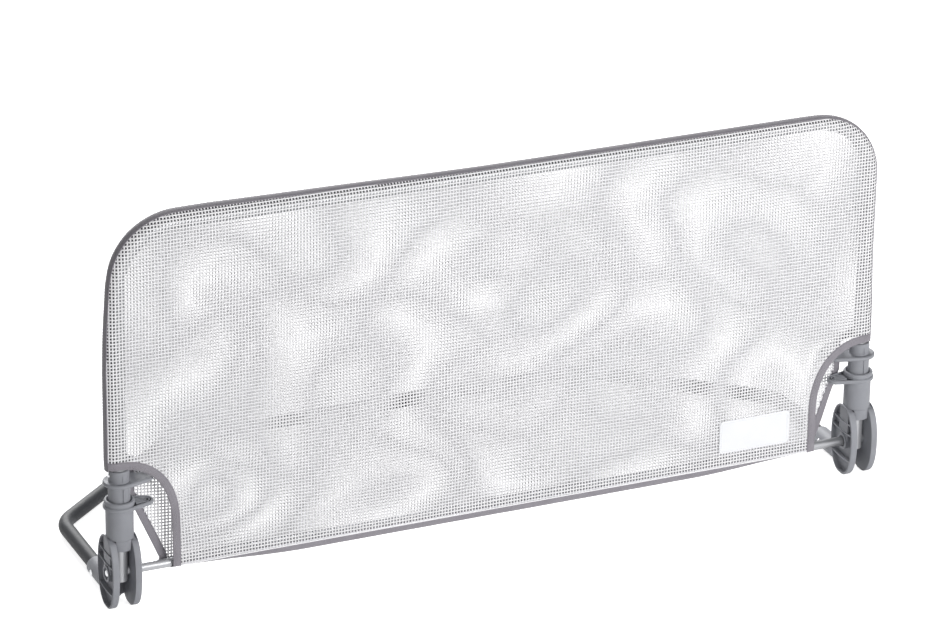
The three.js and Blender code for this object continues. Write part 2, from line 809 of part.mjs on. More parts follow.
// Finishes
const finishes = {
  hingePlastic: { color: 0x84868c, roughness: 0.5, metalness: 0 },
  footSteel: { color: 0x5c5e63, roughness: 0.45, metalness: 0.3 },
  brightSteel: { color: 0xc6c8cc, roughness: 0.3, metalness: 1 },
  postSteel: { color: 0xe2e3e6, roughness: 0.35, metalness: 0.6 },
  springSteel: { color: 0xa9abb0, roughness: 0.35, metalness: 1 },
  bushPlastic: { color: 0xd8d8d4, roughness: 0.6, metalness: 0 },
  whiteMesh: { color: 0xf4f5f8, roughness: 0.8, metalness: 0 },
  greyTape: { color: 0x8f8a90, roughness: 0.9, metalness: 0 },
  patchCloth: { color: 0xf9f9fb, roughness: 0.7, metalness: 0 },
};
for (const name of Object.keys(finishes)) {
  finishes[name] = new THREE.MeshStandardMaterial({ name, ...finishes[name] });
}

const rail = new THREE.Group();
rail.position.set(0, -(footRearBack + footRadius - cheekFront) / 2, axisHeight);

function add(name, made, finish, place = [0, 0, 0], turn = 0) {
  const geometry = made.isBufferGeometry ? made : geometryOf(made);
  const mesh = new THREE.Mesh(geometry, finishes[finish]);
  mesh.name = name;
  mesh.position.set(...place);
  mesh.rotation.z = turn;
  rail.add(mesh);
}

add('crossbar', crossbar(), 'brightSteel');
add('guard_tube', guardTube(), 'postSteel');
add('left_foot_tube', footTube(-1, leftFootEnd), 'footSteel');
add('right_foot_tube', footTube(1, rightFootEnd), 'footSteel');
add('foot_coupler', footCoupler(), 'footSteel');

for (const [side, name] of [[-1, 'left'], [1, 'right']]) {
  const post = [side * postX, 0, 0];
  // The hinge parts are drawn with their wings towards +X, and turned round at the right post
  const turn = side < 0 ? 0 : Math.PI;
  const axleFace = side * (postX + pocketFace + clearance);
  const rivetFace = side * (postX + sleeveNeckRadius + clearance);
  const socketSpot = [side * postX, socketRivetBack, -footAxisDrop];
  add(`${name}_bracket`, forkBracket(side), 'hingePlastic', post);
  add(`${name}_pivot_bush`, pivotBush(), 'bushPlastic', post);
  add(`${name}_inner_sleeve`, innerSleeve(), 'hingePlastic', post, turn);
  add(`${name}_lock_sleeve`, lockSleeve(), 'hingePlastic', post, turn);
  add(`${name}_return_spring`, returnSpring(), 'springSteel', post, turn);
  add(`${name}_axle_screw`, axleScrew(), 'brightSteel', [axleFace, 0, 0], turn);
  add(`${name}_sleeve_rivet`, sleeveRivet(), 'brightSteel', [rivetFace, 0, sleeveRivetHeight], turn);
  add(`${name}_socket_rivet`, socketRivet(), 'brightSteel', socketSpot);
  const place = side < 0 ? atLeft : atRight;
  add(`${name}_front_binding`, binding(frontCut(), place, -panelInner - bindingThickness), 'greyTape');
  add(`${name}_rear_binding`, bulged(binding(rearCut(), place, panelInner)), 'greyTape');
}

add('front_mesh', frontPanel(), 'whiteMesh');
add('rear_mesh', rearPanel(), 'whiteMesh');
add('edge_gusset', prismY(gussetBand(), -panelInner + clearance, panelInner - clearance), 'greyTape');
add('hem_strip', hemStrip(), 'greyTape');
add('sewn_patch', patch(), 'patchCloth');

console.log(`lock sleeve travel ${collarTravel.toFixed(1)} mm`);
console.log(`least gap between the spring's turns ${leastSpringGap().toFixed(2)} mm`);

export default rail;
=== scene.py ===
# Folding bed guard rail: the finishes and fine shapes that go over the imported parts.
import math

import bpy
from mathutils import Matrix, Vector, noise


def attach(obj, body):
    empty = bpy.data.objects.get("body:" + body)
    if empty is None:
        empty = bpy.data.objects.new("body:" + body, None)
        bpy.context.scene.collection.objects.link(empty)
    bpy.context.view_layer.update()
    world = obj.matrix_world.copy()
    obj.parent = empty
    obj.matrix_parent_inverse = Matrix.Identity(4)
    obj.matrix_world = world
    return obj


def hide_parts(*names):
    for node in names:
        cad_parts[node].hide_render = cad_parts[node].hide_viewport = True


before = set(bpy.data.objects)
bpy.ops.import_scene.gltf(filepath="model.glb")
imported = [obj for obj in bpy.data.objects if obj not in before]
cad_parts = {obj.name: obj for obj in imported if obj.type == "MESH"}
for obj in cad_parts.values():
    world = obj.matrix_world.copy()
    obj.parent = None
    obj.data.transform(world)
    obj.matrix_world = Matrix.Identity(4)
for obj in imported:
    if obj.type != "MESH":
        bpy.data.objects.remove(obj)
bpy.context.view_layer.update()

mm = 0.001

# Places and sizes in millimetres, from the middle of the crossbar: X along the rail,
# Y back under the mattress and Z up
rail_back = -161.3
rail_up = 39.0
post_x = 430.0
post_radius = 8.0
tube_wall = 1.2
least_radius = 0.001
top_axis = 383.5
post_bend = 66.0
bend_x = post_x - post_bend
bend_z = top_axis - post_bend
post_tail = 9.5
crossbar_radius = 5.0
crossbar_half = 441.0

fork_half = 8.7
cheek_outer = 16.2
cheek_front = 23.4
cheek_back = 25.4
cheek_top = 43.3
cheek_bottom = 39.6
cheek_power = 2.3
cheek_mid_y = (cheek_back - cheek_front) / 2
cheek_mid_z = (cheek_top - cheek_bottom) / 2
cheek_half_y = (cheek_back + cheek_front) / 2
cheek_half_z = (cheek_top + cheek_bottom) / 2
swing_radius = 40.3
collar_clear = 15.0
recess_depth = 5.6
rib_heights = (24.5, 12.5, -19.0)
rib_thickness = 1.6
rib_sag = 1.8
nest_half = 10.0
nest_drop = 1.6
boss_radius = 9.3
pocket_radius = 6.4
pocket_depth = 2.8
web_front = 15.8
web_back = 21.8
web_top = 20.0
web_bottom = -36.0
socket_radius = 10.5
socket_mouth = 78.0
socket_drop = 29.5

foot_radius = 8.0
foot_start = 32.3
foot_level_end = 85.0
foot_bend = 38.0
foot_first_bend = 184.0
foot_rear = 338.0
foot_rear_half = 250.0
left_foot_end = 114.5
right_foot_end = 150.0
coupler_radius = 6.5
coupler_grip = 50.0

sleeve_radius = 11.65
neck_radius = 10.9
sleeve_bottom = 68.0
sleeve_top = 118.0
upper_plate = 101.0
plate_thickness = 4.5
slot_width = 1.2
slot_depth = 0.9
collar_radius = 14.7
collar_bottom = 28.6
collar_flat_top = 40.6
collar_flat_half = 8.4
collar_ledge = 44.2
collar_top = 84.0
collar_bore = 11.95
collar_rim_radius = 16.2
lower_plate = 74.0
plate_ring_radius = 17.2
wing_reach = 37.0
wing_tip_radius = 9.5
ridge_first = 1.5
ridge_apart = 3.4
ridge_width = 1.25
ridge_height = 2.9

# Domed heads: radius and height of the head, and radius and length of the shank
screw_dome = (4.0, 2.9, 2.0, 12.0)
sleeve_dome = (2.8, 1.6, 1.7, 2.6)
sleeve_dome_up = 112.0
socket_dome = (3.4, 1.5, 1.9, 3.0)
socket_dome_back = 62.0

cover_radius = 8.9
cover_arc = 8.7
cover_floor = -1.3
net_tuck = 2.5
shortest_yarn = 4.0
tape_width = 9.0
tape_thickness = 1.6
front_cut_depth = 55.0
front_cut_centre = -5.0
front_cut_straight = 45.0
cut_top = 120.0
rear_cut_foot = 46.0
rear_cut_rise = 3.3
rear_cut_neck = 14.0
rear_neck_height = 80.0
no_cut = -99.0
seam_margin = 5.5
# How far the loose cover stands off the bent tube, by the way along its edge from the left foot
cover_slack = ((110, 5.0), (130, 6.1), (230, 6.2), (265, 5.2), (287, 4.0), (309, 2.4), (329, 1.4),
               (350, 3.2), (375, 4.7), (404, 5.0), (455, 5.4), (481, 4.8), (555, 3.5), (622, 2.4),
               (689, 0.9), (756, -0.2), (825, -0.4), (985, 0.0), (1128, 0.0), (1160, -0.4),
               (1327, -0.4), (1345, -0.2), (1363, 0.2), (1381, 0.9), (1416, 2.0), (1434, 2.4),
               (1460, 2.4))
hem_depth = 10.2
hem_end_depth = 4.8
hem_taper = 150.0
hem_spread = 8.3
hem_tuck = 3.4
hem_cloth_half = 0.25
patch_from_post = 130.0
patch_centre_z = 34.6
patch_width = 85.0
patch_height = 39.0
patch_corner = 5.0

both_sides = (("left", -1), ("right", 1))
both_faces = (("front", -1), ("rear", 1))

# Nets: yarns, their pitch along the rail and up, and how far they stray, swell and stand back
yarn_width = 1.8
yarn_thickness = 0.32
front_pitch = (3.5, 3.75)
rear_pitch = (3.44, 3.68)
rear_turn = 0.012
stray = (5.2, 4.8)
stray_scale = (0.0058, 0.0074)
stray_at_edge = 0.12
swell_height = 1.8
swell_scale = (0.0062, 0.0085)
bulge_depth = 9.2
bulge_reach = 46.0

# Stitches: pitch, length and thread width
tape_stitch = (3.3, 2.6, 0.7)
seam_stitch = (3.4, 2.6, 0.55)
hem_stitch = (3.4, 2.7, 0.5)
patch_stitch = (2.6, 2.0, 0.45)

# Studio: paleness and glow of the floor, light of the sky, and the lamps' place, size and power
floor_half = 6
floor_drop = 0.0005
floor_white = 0.75
floor_glow = 0.84
sky_light = 0.22
lamp_aim = (0, 0, 0.2)
lamps = (("key_softbox", (0.7, -3.0, 1.0), (1.6, 1.0), 71.5),
         ("back_softbox", (0.4, 2.7, 1.6), (2.0, 1.4), 110.0))

# Camera: lens and film width in millimetres, its place, and its axes
camera_lens = 185.22
camera_film = 36.0
camera_place = (-1.90631, -4.35070, 2.30865)
camera_right = (0.91630179, -0.40020942, 0.01494821)
camera_up = (0.14998336, 0.37752554, 0.9137721)
camera_ahead = (0.37134353, 0.83504903, -0.40595208)


def to_row(point):
    """A place in millimetres from the crossbar's middle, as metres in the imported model's frame."""
    x, y, z = point
    return Vector((x, y + rail_back, z + rail_up)) * mm


def spaced(first, last, steps):
    """Evenly spaced values from the first to the last."""
    return [first + (last - first) * k / steps for k in range(steps + 1)]


# Node trees
def fill(tree, node, inputs):
    """Sets a node's inputs, and links those that are given as another node's output."""
    for key, value in inputs.items():
        socket = node.inputs[key]
        if isinstance(value, bpy.types.NodeSocket):
            tree.links.new(value, socket)
        else:
            socket.default_value = value


def add_node(tree, kind, inputs=None, **settings):
    node = tree.nodes.new(kind)
    for key, value in settings.items():
        setattr(node, key, value)
    fill(tree, node, inputs or {})
    return node


def made(tree, kind, inputs=None, **settings):
    """The first output of a new node."""
    return add_node(tree, kind, inputs, **settings).outputs[0]


def times(tree, first, second):
    return math_node(tree, "MULTIPLY", first, second)


def math_node(tree, operation, *values):
    return made(tree, "ShaderNodeMath", dict(enumerate(values)), operation=operation)


def mapped(tree, vector, **change):
    return made(tree, "ShaderNodeMapping", {"Vector": vector, **change})


def grain(tree, vector, scale, detail=3.0, roughness=0.5):
    inputs = {"Vector": vector, "Scale": scale, "Detail": detail, "Roughness": roughness}
    return add_node(tree, "ShaderNodeTexNoise", inputs).outputs["Fac"]


def bands(tree, vector, scale, distortion, way="X"):
    inputs = {"Vector": vector, "Scale": scale, "Distortion": distortion, "Detail": 1.0}
    return add_node(tree, "ShaderNodeTexWave", inputs, bands_direction=way).outputs["Fac"]


def between(tree, factor, low, high):
    return made(tree, "ShaderNodeMapRange", {"Value": factor, "To Min": low, "To Max": high})


def two_tone(tree, factor, first, second, low=0.3, high=0.7):
    ramp = add_node(tree, "ShaderNodeValToRGB", {"Fac": factor})
    for element, position, tone in zip(ramp.color_ramp.elements, (low, high), (first, second)):
        element.position = position
        element.color = (*tone, 1.0)
    return ramp.outputs["Color"]


def relief(tree, height, strength, depth, below=None):
    inputs = {"Height": height, "Strength": strength, "Distance": depth}
    if below is not None:
        inputs["Normal"] = below
    return made(tree, "ShaderNodeBump", inputs)


def new_material(name):
    material = bpy.data.materials.new(name)
    material.use_nodes = True
    return material, material.node_tree


def start_finish(name):
    """A new material, its node tree and its Object coordinates."""
    material, tree = new_material(name)
    return material, tree, add_node(tree, "ShaderNodeTexCoord").outputs["Object"]


def shade(material, inputs):
    tree = material.node_tree
    fill(tree, tree.nodes["Principled BSDF"], inputs)
    return material


def moulded_plastic(name, dark, light, rough):
    """Satin moulded plastic: a fine spark-eroded grain and a little unevenness in its gloss."""
    material, tree, place = start_finish(name)
    return shade(material, {
        "Base Color": two_tone(tree, grain(tree, place, 60.0, 4.0), dark, light),
        "Roughness": between(tree, grain(tree, place, 240.0), rough - 0.06, rough + 0.08),
        "Normal": relief(tree, grain(tree, place, 3800.0, 2.0), 0.22, 0.00006),
        "Specular IOR Level": 0.22})


def powder_coat(name, dark, light):
    """Baked powder coat over steel: a low orange-peel swell under a fine speckle."""
    material, tree, place = start_finish(name)
    speckle, swell = grain(tree, place, 2600.0, 2.0), grain(tree, place, 520.0, 2.0)
    peel = relief(tree, swell, 0.25, 0.0002)
    return shade(material, {
        "Base Color": two_tone(tree, speckle, dark, light, 0.35, 0.65),
        "Roughness": between(tree, swell, 0.46, 0.58),
        "Normal": relief(tree, speckle, 0.1, 0.00005, peel),
        "Specular IOR Level": 0.18})


def drawn_metal(name, dark, light, rough, stretch=(1.0, 1.0, 1.0), metallic=1.0, edge_tint=1.0):
    """Drawn or plated metal, with faint lines along it and its own tint at a glancing view."""
    material, tree, place = start_finish(name)
    lines = grain(tree, mapped(tree, place, Scale=stretch), 900.0, 4.0, 0.6)
    gloss = times(tree, lines, grain(tree, place, 90.0))
    return shade(material, {
        "Base Color": two_tone(tree, lines, dark, light, 0.25, 0.75),
        "Roughness": between(tree, gloss, rough - 0.07, rough + 0.16),
        "Normal": relief(tree, lines, 0.06, 0.00005),
        "Metallic": metallic,
        "Specular Tint": (edge_tint, edge_tint, edge_tint, 1.0)})


def thread_finish(name, dark, light, twist=2400.0):
    """Yarn: lines wound slantwise round it, with small changes of tone along it."""
    material, tree, place = start_finish(name)
    wound = bands(tree, mapped(tree, place, Rotation=(0.0, 0.7, 0.0)), twist, 1.2)
    return shade(material, {
        "Base Color": two_tone(tree, grain(tree, place, 130.0), dark, light),
        "Roughness": between(tree, wound, 0.62, 0.8),
        "Normal": relief(tree, wound, 0.15, 0.0001),
        "Sheen Weight": 0.5, "Sheen Roughness": 0.5})


def woven_finish(name, dark, light, across=520.0, along=340.0, depth=0.00018, rough=0.82,
                 sheen=0.25):
    """Woven cloth: ribs of warp crossed by weft, laid along the piece by its weave attribute."""
    material, tree, place = start_finish(name)
    weave = add_node(tree, "ShaderNodeAttribute", attribute_name="weave").outputs["Vector"]
    slant = mapped(tree, weave, Rotation=(0.0, 0.0, 0.5))
    ribs = times(tree, bands(tree, slant, across, 0.6), bands(tree, weave, along, 0.4, "Y"))
    wear, fuzz = grain(tree, place, 45.0, 4.0), grain(tree, place, 1900.0, 2.0)
    tone = math_node(tree, "ADD", times(tree, ribs, 0.35), times(tree, wear, 0.65))
    return shade(material, {
        "Base Color": two_tone(tree, tone, dark, light, 0.25, 0.62),
        "Roughness": between(tree, ribs, rough - 0.06, rough + 0.06),
        "Normal": relief(tree, fuzz, 0.12, 0.0001, relief(tree, ribs, 0.6, depth)),
        "Sheen Weight": sheen, "Sheen Roughness": 0.45})


# Each finish runs between a darker and a lighter tone of its colour
hinge_plastic = moulded_plastic("hinge_plastic_satin", (0.28, 0.286, 0.311), (0.311, 0.319, 0.346),
                                0.5)
foot_coat = powder_coat("foot_powder_coat", (0.045, 0.047, 0.052), (0.06, 0.0625, 0.069))
crossbar_plate = drawn_metal("crossbar_plating", (0.36, 0.365, 0.38), (0.44, 0.445, 0.46), 0.4,
                             (0.02, 1.0, 1.0), 0.8, 0.3)
post_coat = drawn_metal("post_silver_coat", (0.4, 0.405, 0.42), (0.5, 0.505, 0.52), 0.36,
                        (1.0, 1.0, 0.05), 0.5)
fastener_steel = drawn_metal("fastener_steel", (0.58, 0.585, 0.6), (0.7, 0.705, 0.72), 0.24)
spring_steel = drawn_metal("spring_wire_steel", (0.4, 0.405, 0.42), (0.52, 0.525, 0.54), 0.3)
bush_nylon = moulded_plastic("bush_nylon", (0.66, 0.66, 0.64), (0.72, 0.72, 0.7), 0.5)
net_yarn = thread_finish("net_yarn", (0.965, 0.96, 0.985), (0.982, 0.977, 0.995), 1400.0)
grey_tape = woven_finish("grey_tape_weave", (0.248, 0.234, 0.26), (0.305, 0.29, 0.32))
patch_cloth = woven_finish("patch_satin_weave", (0.86, 0.87, 0.9), (0.9, 0.91, 0.935),
                           700.0, 300.0, 0.00008, 0.5, 0.1)
grey_thread = thread_finish("grey_thread", (0.15, 0.145, 0.165), (0.21, 0.2, 0.225))
# Near-black finish of the seam margins: painted shade of the dark gap between the net and the tube,
# not the cloth's own colour
seam_painted_shade = woven_finish("seam_overlock_weave", (0.045, 0.044, 0.05), (0.075, 0.072, 0.082))
white_thread = thread_finish("white_thread", (0.72, 0.72, 0.75), (0.82, 0.82, 0.85))


# Meshes
def link_object(name, data):
    thing = bpy.data.objects.new(name, data)
    bpy.context.scene.collection.objects.link(thing)
    return thing


class Shell:
    """Points and faces of several closed bodies that make one moulded or turned piece."""

    def __init__(self):
        self.points = []
        self.faces = []
        self.weave = []

    def loft(self, rings, loop=False, turned=False):
        """Skins a row of rings. Their order and direction say which way the faces point."""
        start, size, count = len(self.points), len(rings[0]), len(rings)
        self.points += [tuple(point) for ring in rings for point in ring]
        faces = []
        for i in range(count if loop else count - 1):
            low, high = start + i * size, start + (i + 1) % count * size
            faces += [(low + k, low + (k + 1) % size, high + (k + 1) % size, high + k)
                      for k in range(size)]
        if not loop:
            faces.append(tuple(range(start + size - 1, start - 1, -1)))
            faces.append(tuple(range(start + (count - 1) * size, start + count * size)))
        self.faces += [face[::-1] for face in faces] if turned else faces
        return self

    def piece(self, name, material, sharp=35.0):
        """The bodies as one object at the origin, with their place in its mesh."""
        mesh = bpy.data.meshes.new(name)
        mesh.from_pydata([to_row(point) for point in self.points], [], self.faces)
        mesh.validate()
        mesh.materials.append(material)
        mesh.polygons.foreach_set("use_smooth", [True] * len(mesh.polygons))
        mesh.set_sharp_from_angle(angle=math.radians(sharp))
        if self.weave:
            weave = mesh.attributes.new("weave", "FLOAT_VECTOR", "POINT")
            weave.data.foreach_set("vector", [value for row in self.weave for value in row])
        return link_object(name, mesh)


def finish_piece(piece, body, slot, *nodes):
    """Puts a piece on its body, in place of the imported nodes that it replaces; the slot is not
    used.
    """
    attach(piece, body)
    if nodes:
        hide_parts(*nodes)
    return piece


def circle(radius, sides, start=0.0):
    turn = 2 * math.pi / sides
    return [(radius * math.cos(start + k * turn), radius * math.sin(start + k * turn))
            for k in range(sides)]


def lathe(shell, axis, profile, centre=(0.0, 0.0, 0.0), sides=48, loop=False, floor=-math.inf):
    """Turns a profile of (radius, place along the axis), from the low end to the high end."""
    cx, cy, cz = centre
    rings = []
    for radius, along in profile:
        ring = []
        for a, b in circle(max(radius, least_radius), sides):
            x, y, z = {"x": (along, a, b), "y": (b, along, a), "z": (a, b, along)}[axis]
            ring.append((x + cx, y + cy, max(z + cz, floor)))
        rings.append(ring)
    return shell.loft(rings, loop=loop)


def round_over(radius, low, high, fillet, steps=3):
    """A turned profile of a plain drum with both edges rounded over."""
    rise = [(math.sin(t), 1 - math.cos(t)) for t in spaced(0.0, math.pi / 2, steps)]
    start = [(radius - fillet + fillet * s, low + fillet * c) for s, c in rise]
    end = [(radius - fillet + fillet * s, high - fillet * c) for s, c in reversed(rise)]
    return start + end


def rounded_route(corners, radius, steps=12):
    """Corner points of a flat route, each inner corner rounded to the radius."""
    route = [Vector(corners[0])]
    for i in range(1, len(corners) - 1):
        corner = Vector(corners[i])
        back = (Vector(corners[i - 1]) - corner).normalized()
        ahead = (Vector(corners[i + 1]) - corner).normalized()
        half = back.angle(ahead) / 2
        centre = corner + (back + ahead).normalized() * (radius / math.sin(half))
        arm = corner + back * (radius / math.tan(half)) - centre
        turn = math.pi - 2 * half
        side = 1 if back.x * ahead.y - back.y * ahead.x < 0 else -1
        route += [centre + Matrix.Rotation(angle, 2) @ arm
                  for angle in spaced(0.0, side * turn, steps)]
    route.append(Vector(corners[-1]))
    return route


def pipe(shell, route, outer, inner, sides=32):
    """A tube with a wall along a route of places in millimetres."""
    rings_out, rings_in = [], []
    points = [Vector(point) for point in route]
    normal = None
    for i, point in enumerate(points):
        arriving = (point - points[max(i - 1, 0)]).normalized()
        leaving = (points[min(i + 1, len(points) - 1)] - point).normalized()
        tangent = (arriving + leaving).normalized()
        if normal is None:
            spare = Vector((0, 0, 1)) if abs(tangent.z) < 0.9 else Vector((0, 1, 0))
            normal = tangent.cross(spare).normalized()
        normal = (normal - tangent * normal.dot(tangent)).normalized()
        binormal = tangent.cross(normal)
        for rings, radius in ((rings_out, outer), (rings_in, inner)):
            rings.append([point + normal * a + binormal * b for a, b in circle(radius, sides)])
    return shell.loft([*rings_out, *reversed(rings_in)], loop=True)


# Fork brackets
def drawn_out(share, half):
    """A coordinate of the cheek's rounded outline from a cosine or sine."""
    return half * math.copysign(abs(share) ** (2 / cheek_power), share)


def cheek_ring(inset, along, facing, post, clamped=False, sides=72):
    """The cheek's outline drawn in by an inset, at a place along X outward from the post."""
    limit = swing_radius - inset
    ring = []
    for k in range(sides):
        angle = 2 * math.pi * k / sides
        y = cheek_mid_y + drawn_out(math.cos(angle), cheek_half_y - inset)
        z = cheek_mid_z + drawn_out(math.sin(angle), cheek_half_z - inset)
        if clamped and z > 0 and math.hypot(y, z) > limit:
            y, z = y * limit / math.hypot(y, z), z * limit / math.hypot(y, z)
        ring.append((post + facing * along, y, max(z, inset - rail_up)))
    return ring


def cheek_half_width(z, inset):
    """How far the cheek's outline stands from its middle line at a height."""
    share = abs(z - cheek_mid_z) / (cheek_half_z - inset)
    return (cheek_half_y - inset) * max(1 - share ** cheek_power, 0) ** (1 / cheek_power)


def cheek(shell, post, facing, bored):
    turned = facing < 0
    floor = cheek_outer - recess_depth
    # Inset, place outward of the post, and whether the swing of the guard limits the outline
    steps = [
        (0.7, fork_half, True), (0.2, fork_half + 0.2, True), (0.0, fork_half + 0.7, True),
        (0.0, collar_clear, True), (0.0, collar_clear + 0.02, False),
        (0.15, cheek_outer - 0.65, False), (0.55, cheek_outer - 0.2, False),
        (1.1, cheek_outer, False), (1.75, cheek_outer, False), (2.05, cheek_outer - 0.3, False),
        (2.3, floor + 0.7, False), (2.9, floor, False)]
    rings = [cheek_ring(inset, along, facing, post, clamped) for inset, along, clamped in steps]
    shell.loft(rings, turned=turned)
    # Ribs that sag a little across the recess
    top = cheek_outer - 0.35
    half = rib_thickness / 2
    section = [(-half, floor - 0.5), (-half, top - 0.4), (-half + 0.4, top), (half - 0.4, top),
               (half, top - 0.4), (half, floor - 0.5)]
    for height in rib_heights:
        reach = cheek_half_width(height, 1.2)
        rows = []
        for share in spaced(-1, 1, 12):
            y = cheek_mid_y + share * reach
            z = height + half - rib_sag * (1 - share * share)
            rows.append([(post + facing * along, y, z + rise) for rise, along in section])
        shell.loft(rows, turned=not turned)
    # The raised panel above the axle, and the boss ring round it
    panel_top = cheek_outer - nest_drop
    edge = [(y, z) for _, y, z in cheek_ring(1.4, 0, facing, 0) if abs(y) < nest_half and z > 0]
    outline = [(nest_half, 2.0), (nest_half, edge[0][1] - 0.6), *edge,
               (-nest_half, edge[-1][1] - 0.6), (-nest_half, 2.0)]
    panel_middle = 22.0
    rows = []
    for draw, along in ((0.0, floor - 0.5), (0.0, panel_top - 0.5), (0.5, panel_top)):
        rows.append([(post + facing * along, y - math.copysign(draw, y) if abs(y) > 1 else y,
                      z - math.copysign(draw, z - panel_middle)) for y, z in outline])
    shell.loft(rows, turned=turned)
    floor_of_pocket = cheek_outer - pocket_depth
    boss = [(boss_radius, floor - 0.5), (boss_radius, cheek_outer - 0.5),
            (boss_radius - 0.5, cheek_outer), (pocket_radius + 0.4, cheek_outer),
            (pocket_radius, cheek_outer - 0.4), (pocket_radius, floor_of_pocket)]
    if bored:
        boss += [(crossbar_radius + 0.3, floor_of_pocket - depth) for depth in (0, 1)]
    shell.loft([[(post + facing * along, a, b) for a, b in circle(radius, 40)]
                for radius, along in boss], turned=turned)


def fork_bracket(name, side):
    shell = Shell()
    post = side * post_x
    cheek(shell, post, side, False)
    cheek(shell, post, -side, True)
    # Web behind the post
    lap = fork_half + 0.4
    corners = ((-1, web_bottom), (-1, web_top), (1, web_top), (1, web_bottom))
    shell.loft([[(post + x * lap, y, z + (draw if z < 0 else -draw)) for x, z in corners]
                for draw, y in ((0.8, web_front), (0.0, web_front + 0.8),
                                (0.0, web_back - 0.8), (0.8, web_back))])
    # Socket for the foot tube, flat where it stands
    mouth = foot_radius + 0.3
    start, bottom = web_front + 2, socket_mouth - 18
    profile = [(0, start), (socket_radius, start), (socket_radius, socket_mouth - 1.2),
               (socket_radius - 0.4, socket_mouth - 0.3), (socket_radius - 1.1, socket_mouth),
               (mouth + 0.3, socket_mouth), (mouth, socket_mouth - 0.4), (mouth, bottom),
               (0, bottom)]
    lathe(shell, "y", profile, (post, 0, -socket_drop), 48, floor=-rail_up)
    # Gussets from the socket up to the back of each cheek
    for x in (-1, 1):
        ends = sorted((post + x * (fork_half + 0.5), post + x * (socket_radius + 0.3)))
        shell.loft([[(end, y, z) for y, z in ((22.0, -30.0), (44.0, -30.0), (22.0, 2.0))]
                    for end in ends])
    piece = shell.piece(name + "_fork", hinge_plastic)
    finish_piece(piece, "base", "hinge_plastic", name + "_bracket")


# Sleeves and their finger plates
def plate_ring(draw, height, side, post, sides=72):
    """The finger plate's outline: a ring round the post that runs out into a rounded wing."""
    tip = wing_reach - wing_tip_radius
    angle = math.acos((plate_ring_radius - wing_tip_radius) / tip)
    tips = int(sides * (angle / math.pi))
    rest = sides - tips
    tip_turns = spaced(-angle, angle, tips - 1)
    rest_turns = [angle + (2 * math.pi - 2 * angle) * (k + 0.5) / rest for k in range(rest)]
    small, large = wing_tip_radius - draw, plate_ring_radius - draw
    points = [(tip + small * math.cos(t), small * math.sin(t)) for t in tip_turns]
    points += [(large * math.cos(t), large * math.sin(t)) for t in rest_turns]
    ring = [(post - side * x, y, height) for x, y in points]
    return ring if side < 0 else ring[::-1]


def finger_plate(shell, low, side, post, dish, fillet=1.9):
    high = low + plate_thickness
    turns = spaced(0.0, math.pi / 2, 4)
    rows = [(fillet * (1 - math.sin(t)), low + fillet * (1 - math.cos(t))) for t in turns]
    rows += [(fillet * (1 - math.cos(t)), high - fillet + fillet * math.sin(t)) for t in turns]
    rows += [(fillet + 0.6, high - 0.1), (fillet + 2.2, high - dish)]
    shell.loft([plate_ring(draw, height, side, post) for draw, height in rows])


def slotted_ring(radius, height, cut, angles, post, sides=48):
    """A ring of points with narrow slots at the given angles, cut to a depth."""
    half = slot_width / 2 / radius
    marks = []
    for k in range(sides):
        t = 2 * math.pi * (k + 0.5) / sides
        if all(abs(math.remainder(t - angle, 2 * math.pi)) > 1.6 * half for angle in angles):
            marks.append((t, 0.0))
    for angle in angles:
        a = angle % (2 * math.pi)
        marks += [(a - half * 1.02, 0.0), (a - half, cut), (a + half, cut), (a + half * 1.02, 0.0)]
    marks.sort()
    return [(post + (radius - depth) * math.cos(t), (radius - depth) * math.sin(t), height)
            for t, depth in marks]


def inner_sleeve(name, side):
    shell = Shell()
    post = side * post_x
    quarter = [0.0, math.pi / 2, math.pi, 1.5 * math.pi]
    low, high = sleeve_bottom + 6, upper_plate - 0.6
    rows = [(sleeve_radius - 0.6, sleeve_bottom, 0), (sleeve_radius - 0.15, sleeve_bottom + 0.2, 0),
            (sleeve_radius, sleeve_bottom + 0.7, 0), (sleeve_radius, low, 0),
            (sleeve_radius, low + 0.05, slot_depth), (sleeve_radius, high, slot_depth),
            (sleeve_radius, high + 0.05, 0), (sleeve_radius, upper_plate + 1, 0)]
    shell.loft([slotted_ring(r, z, cut, quarter, post) for r, z, cut in rows])
    finger_plate(shell, upper_plate, side, post, dish=0.5)
    front = [1.5 * math.pi]
    neck_low = upper_plate + plate_thickness - 0.4
    rows = [(neck_radius + 0.5, neck_low, 0), (neck_radius + 0.12, neck_low + 0.4, 0),
            (neck_radius, neck_low + 1, 0), (neck_radius, neck_low + 1.1, slot_depth * 0.7),
            (neck_radius, sleeve_top - 4.5, slot_depth * 0.7), (neck_radius, sleeve_top - 4.4, 0),
            (neck_radius, sleeve_top - 1, 0), (neck_radius - 0.3, sleeve_top - 0.3, 0),
            (neck_radius - 0.9, sleeve_top, 0), (post_radius + 0.5, sleeve_top, 0),
            (post_radius + 0.3, sleeve_top - 0.4, 0), (post_radius + 0.3, sleeve_top - 6, 0)]
    shell.loft([slotted_ring(r, z, cut, front, post) for r, z, cut in rows])
    piece = shell.piece(name + "_sleeve_and_upper_plate", hinge_plastic)
    finish_piece(piece, "guard", "hinge_plastic", name + "_inner_sleeve")


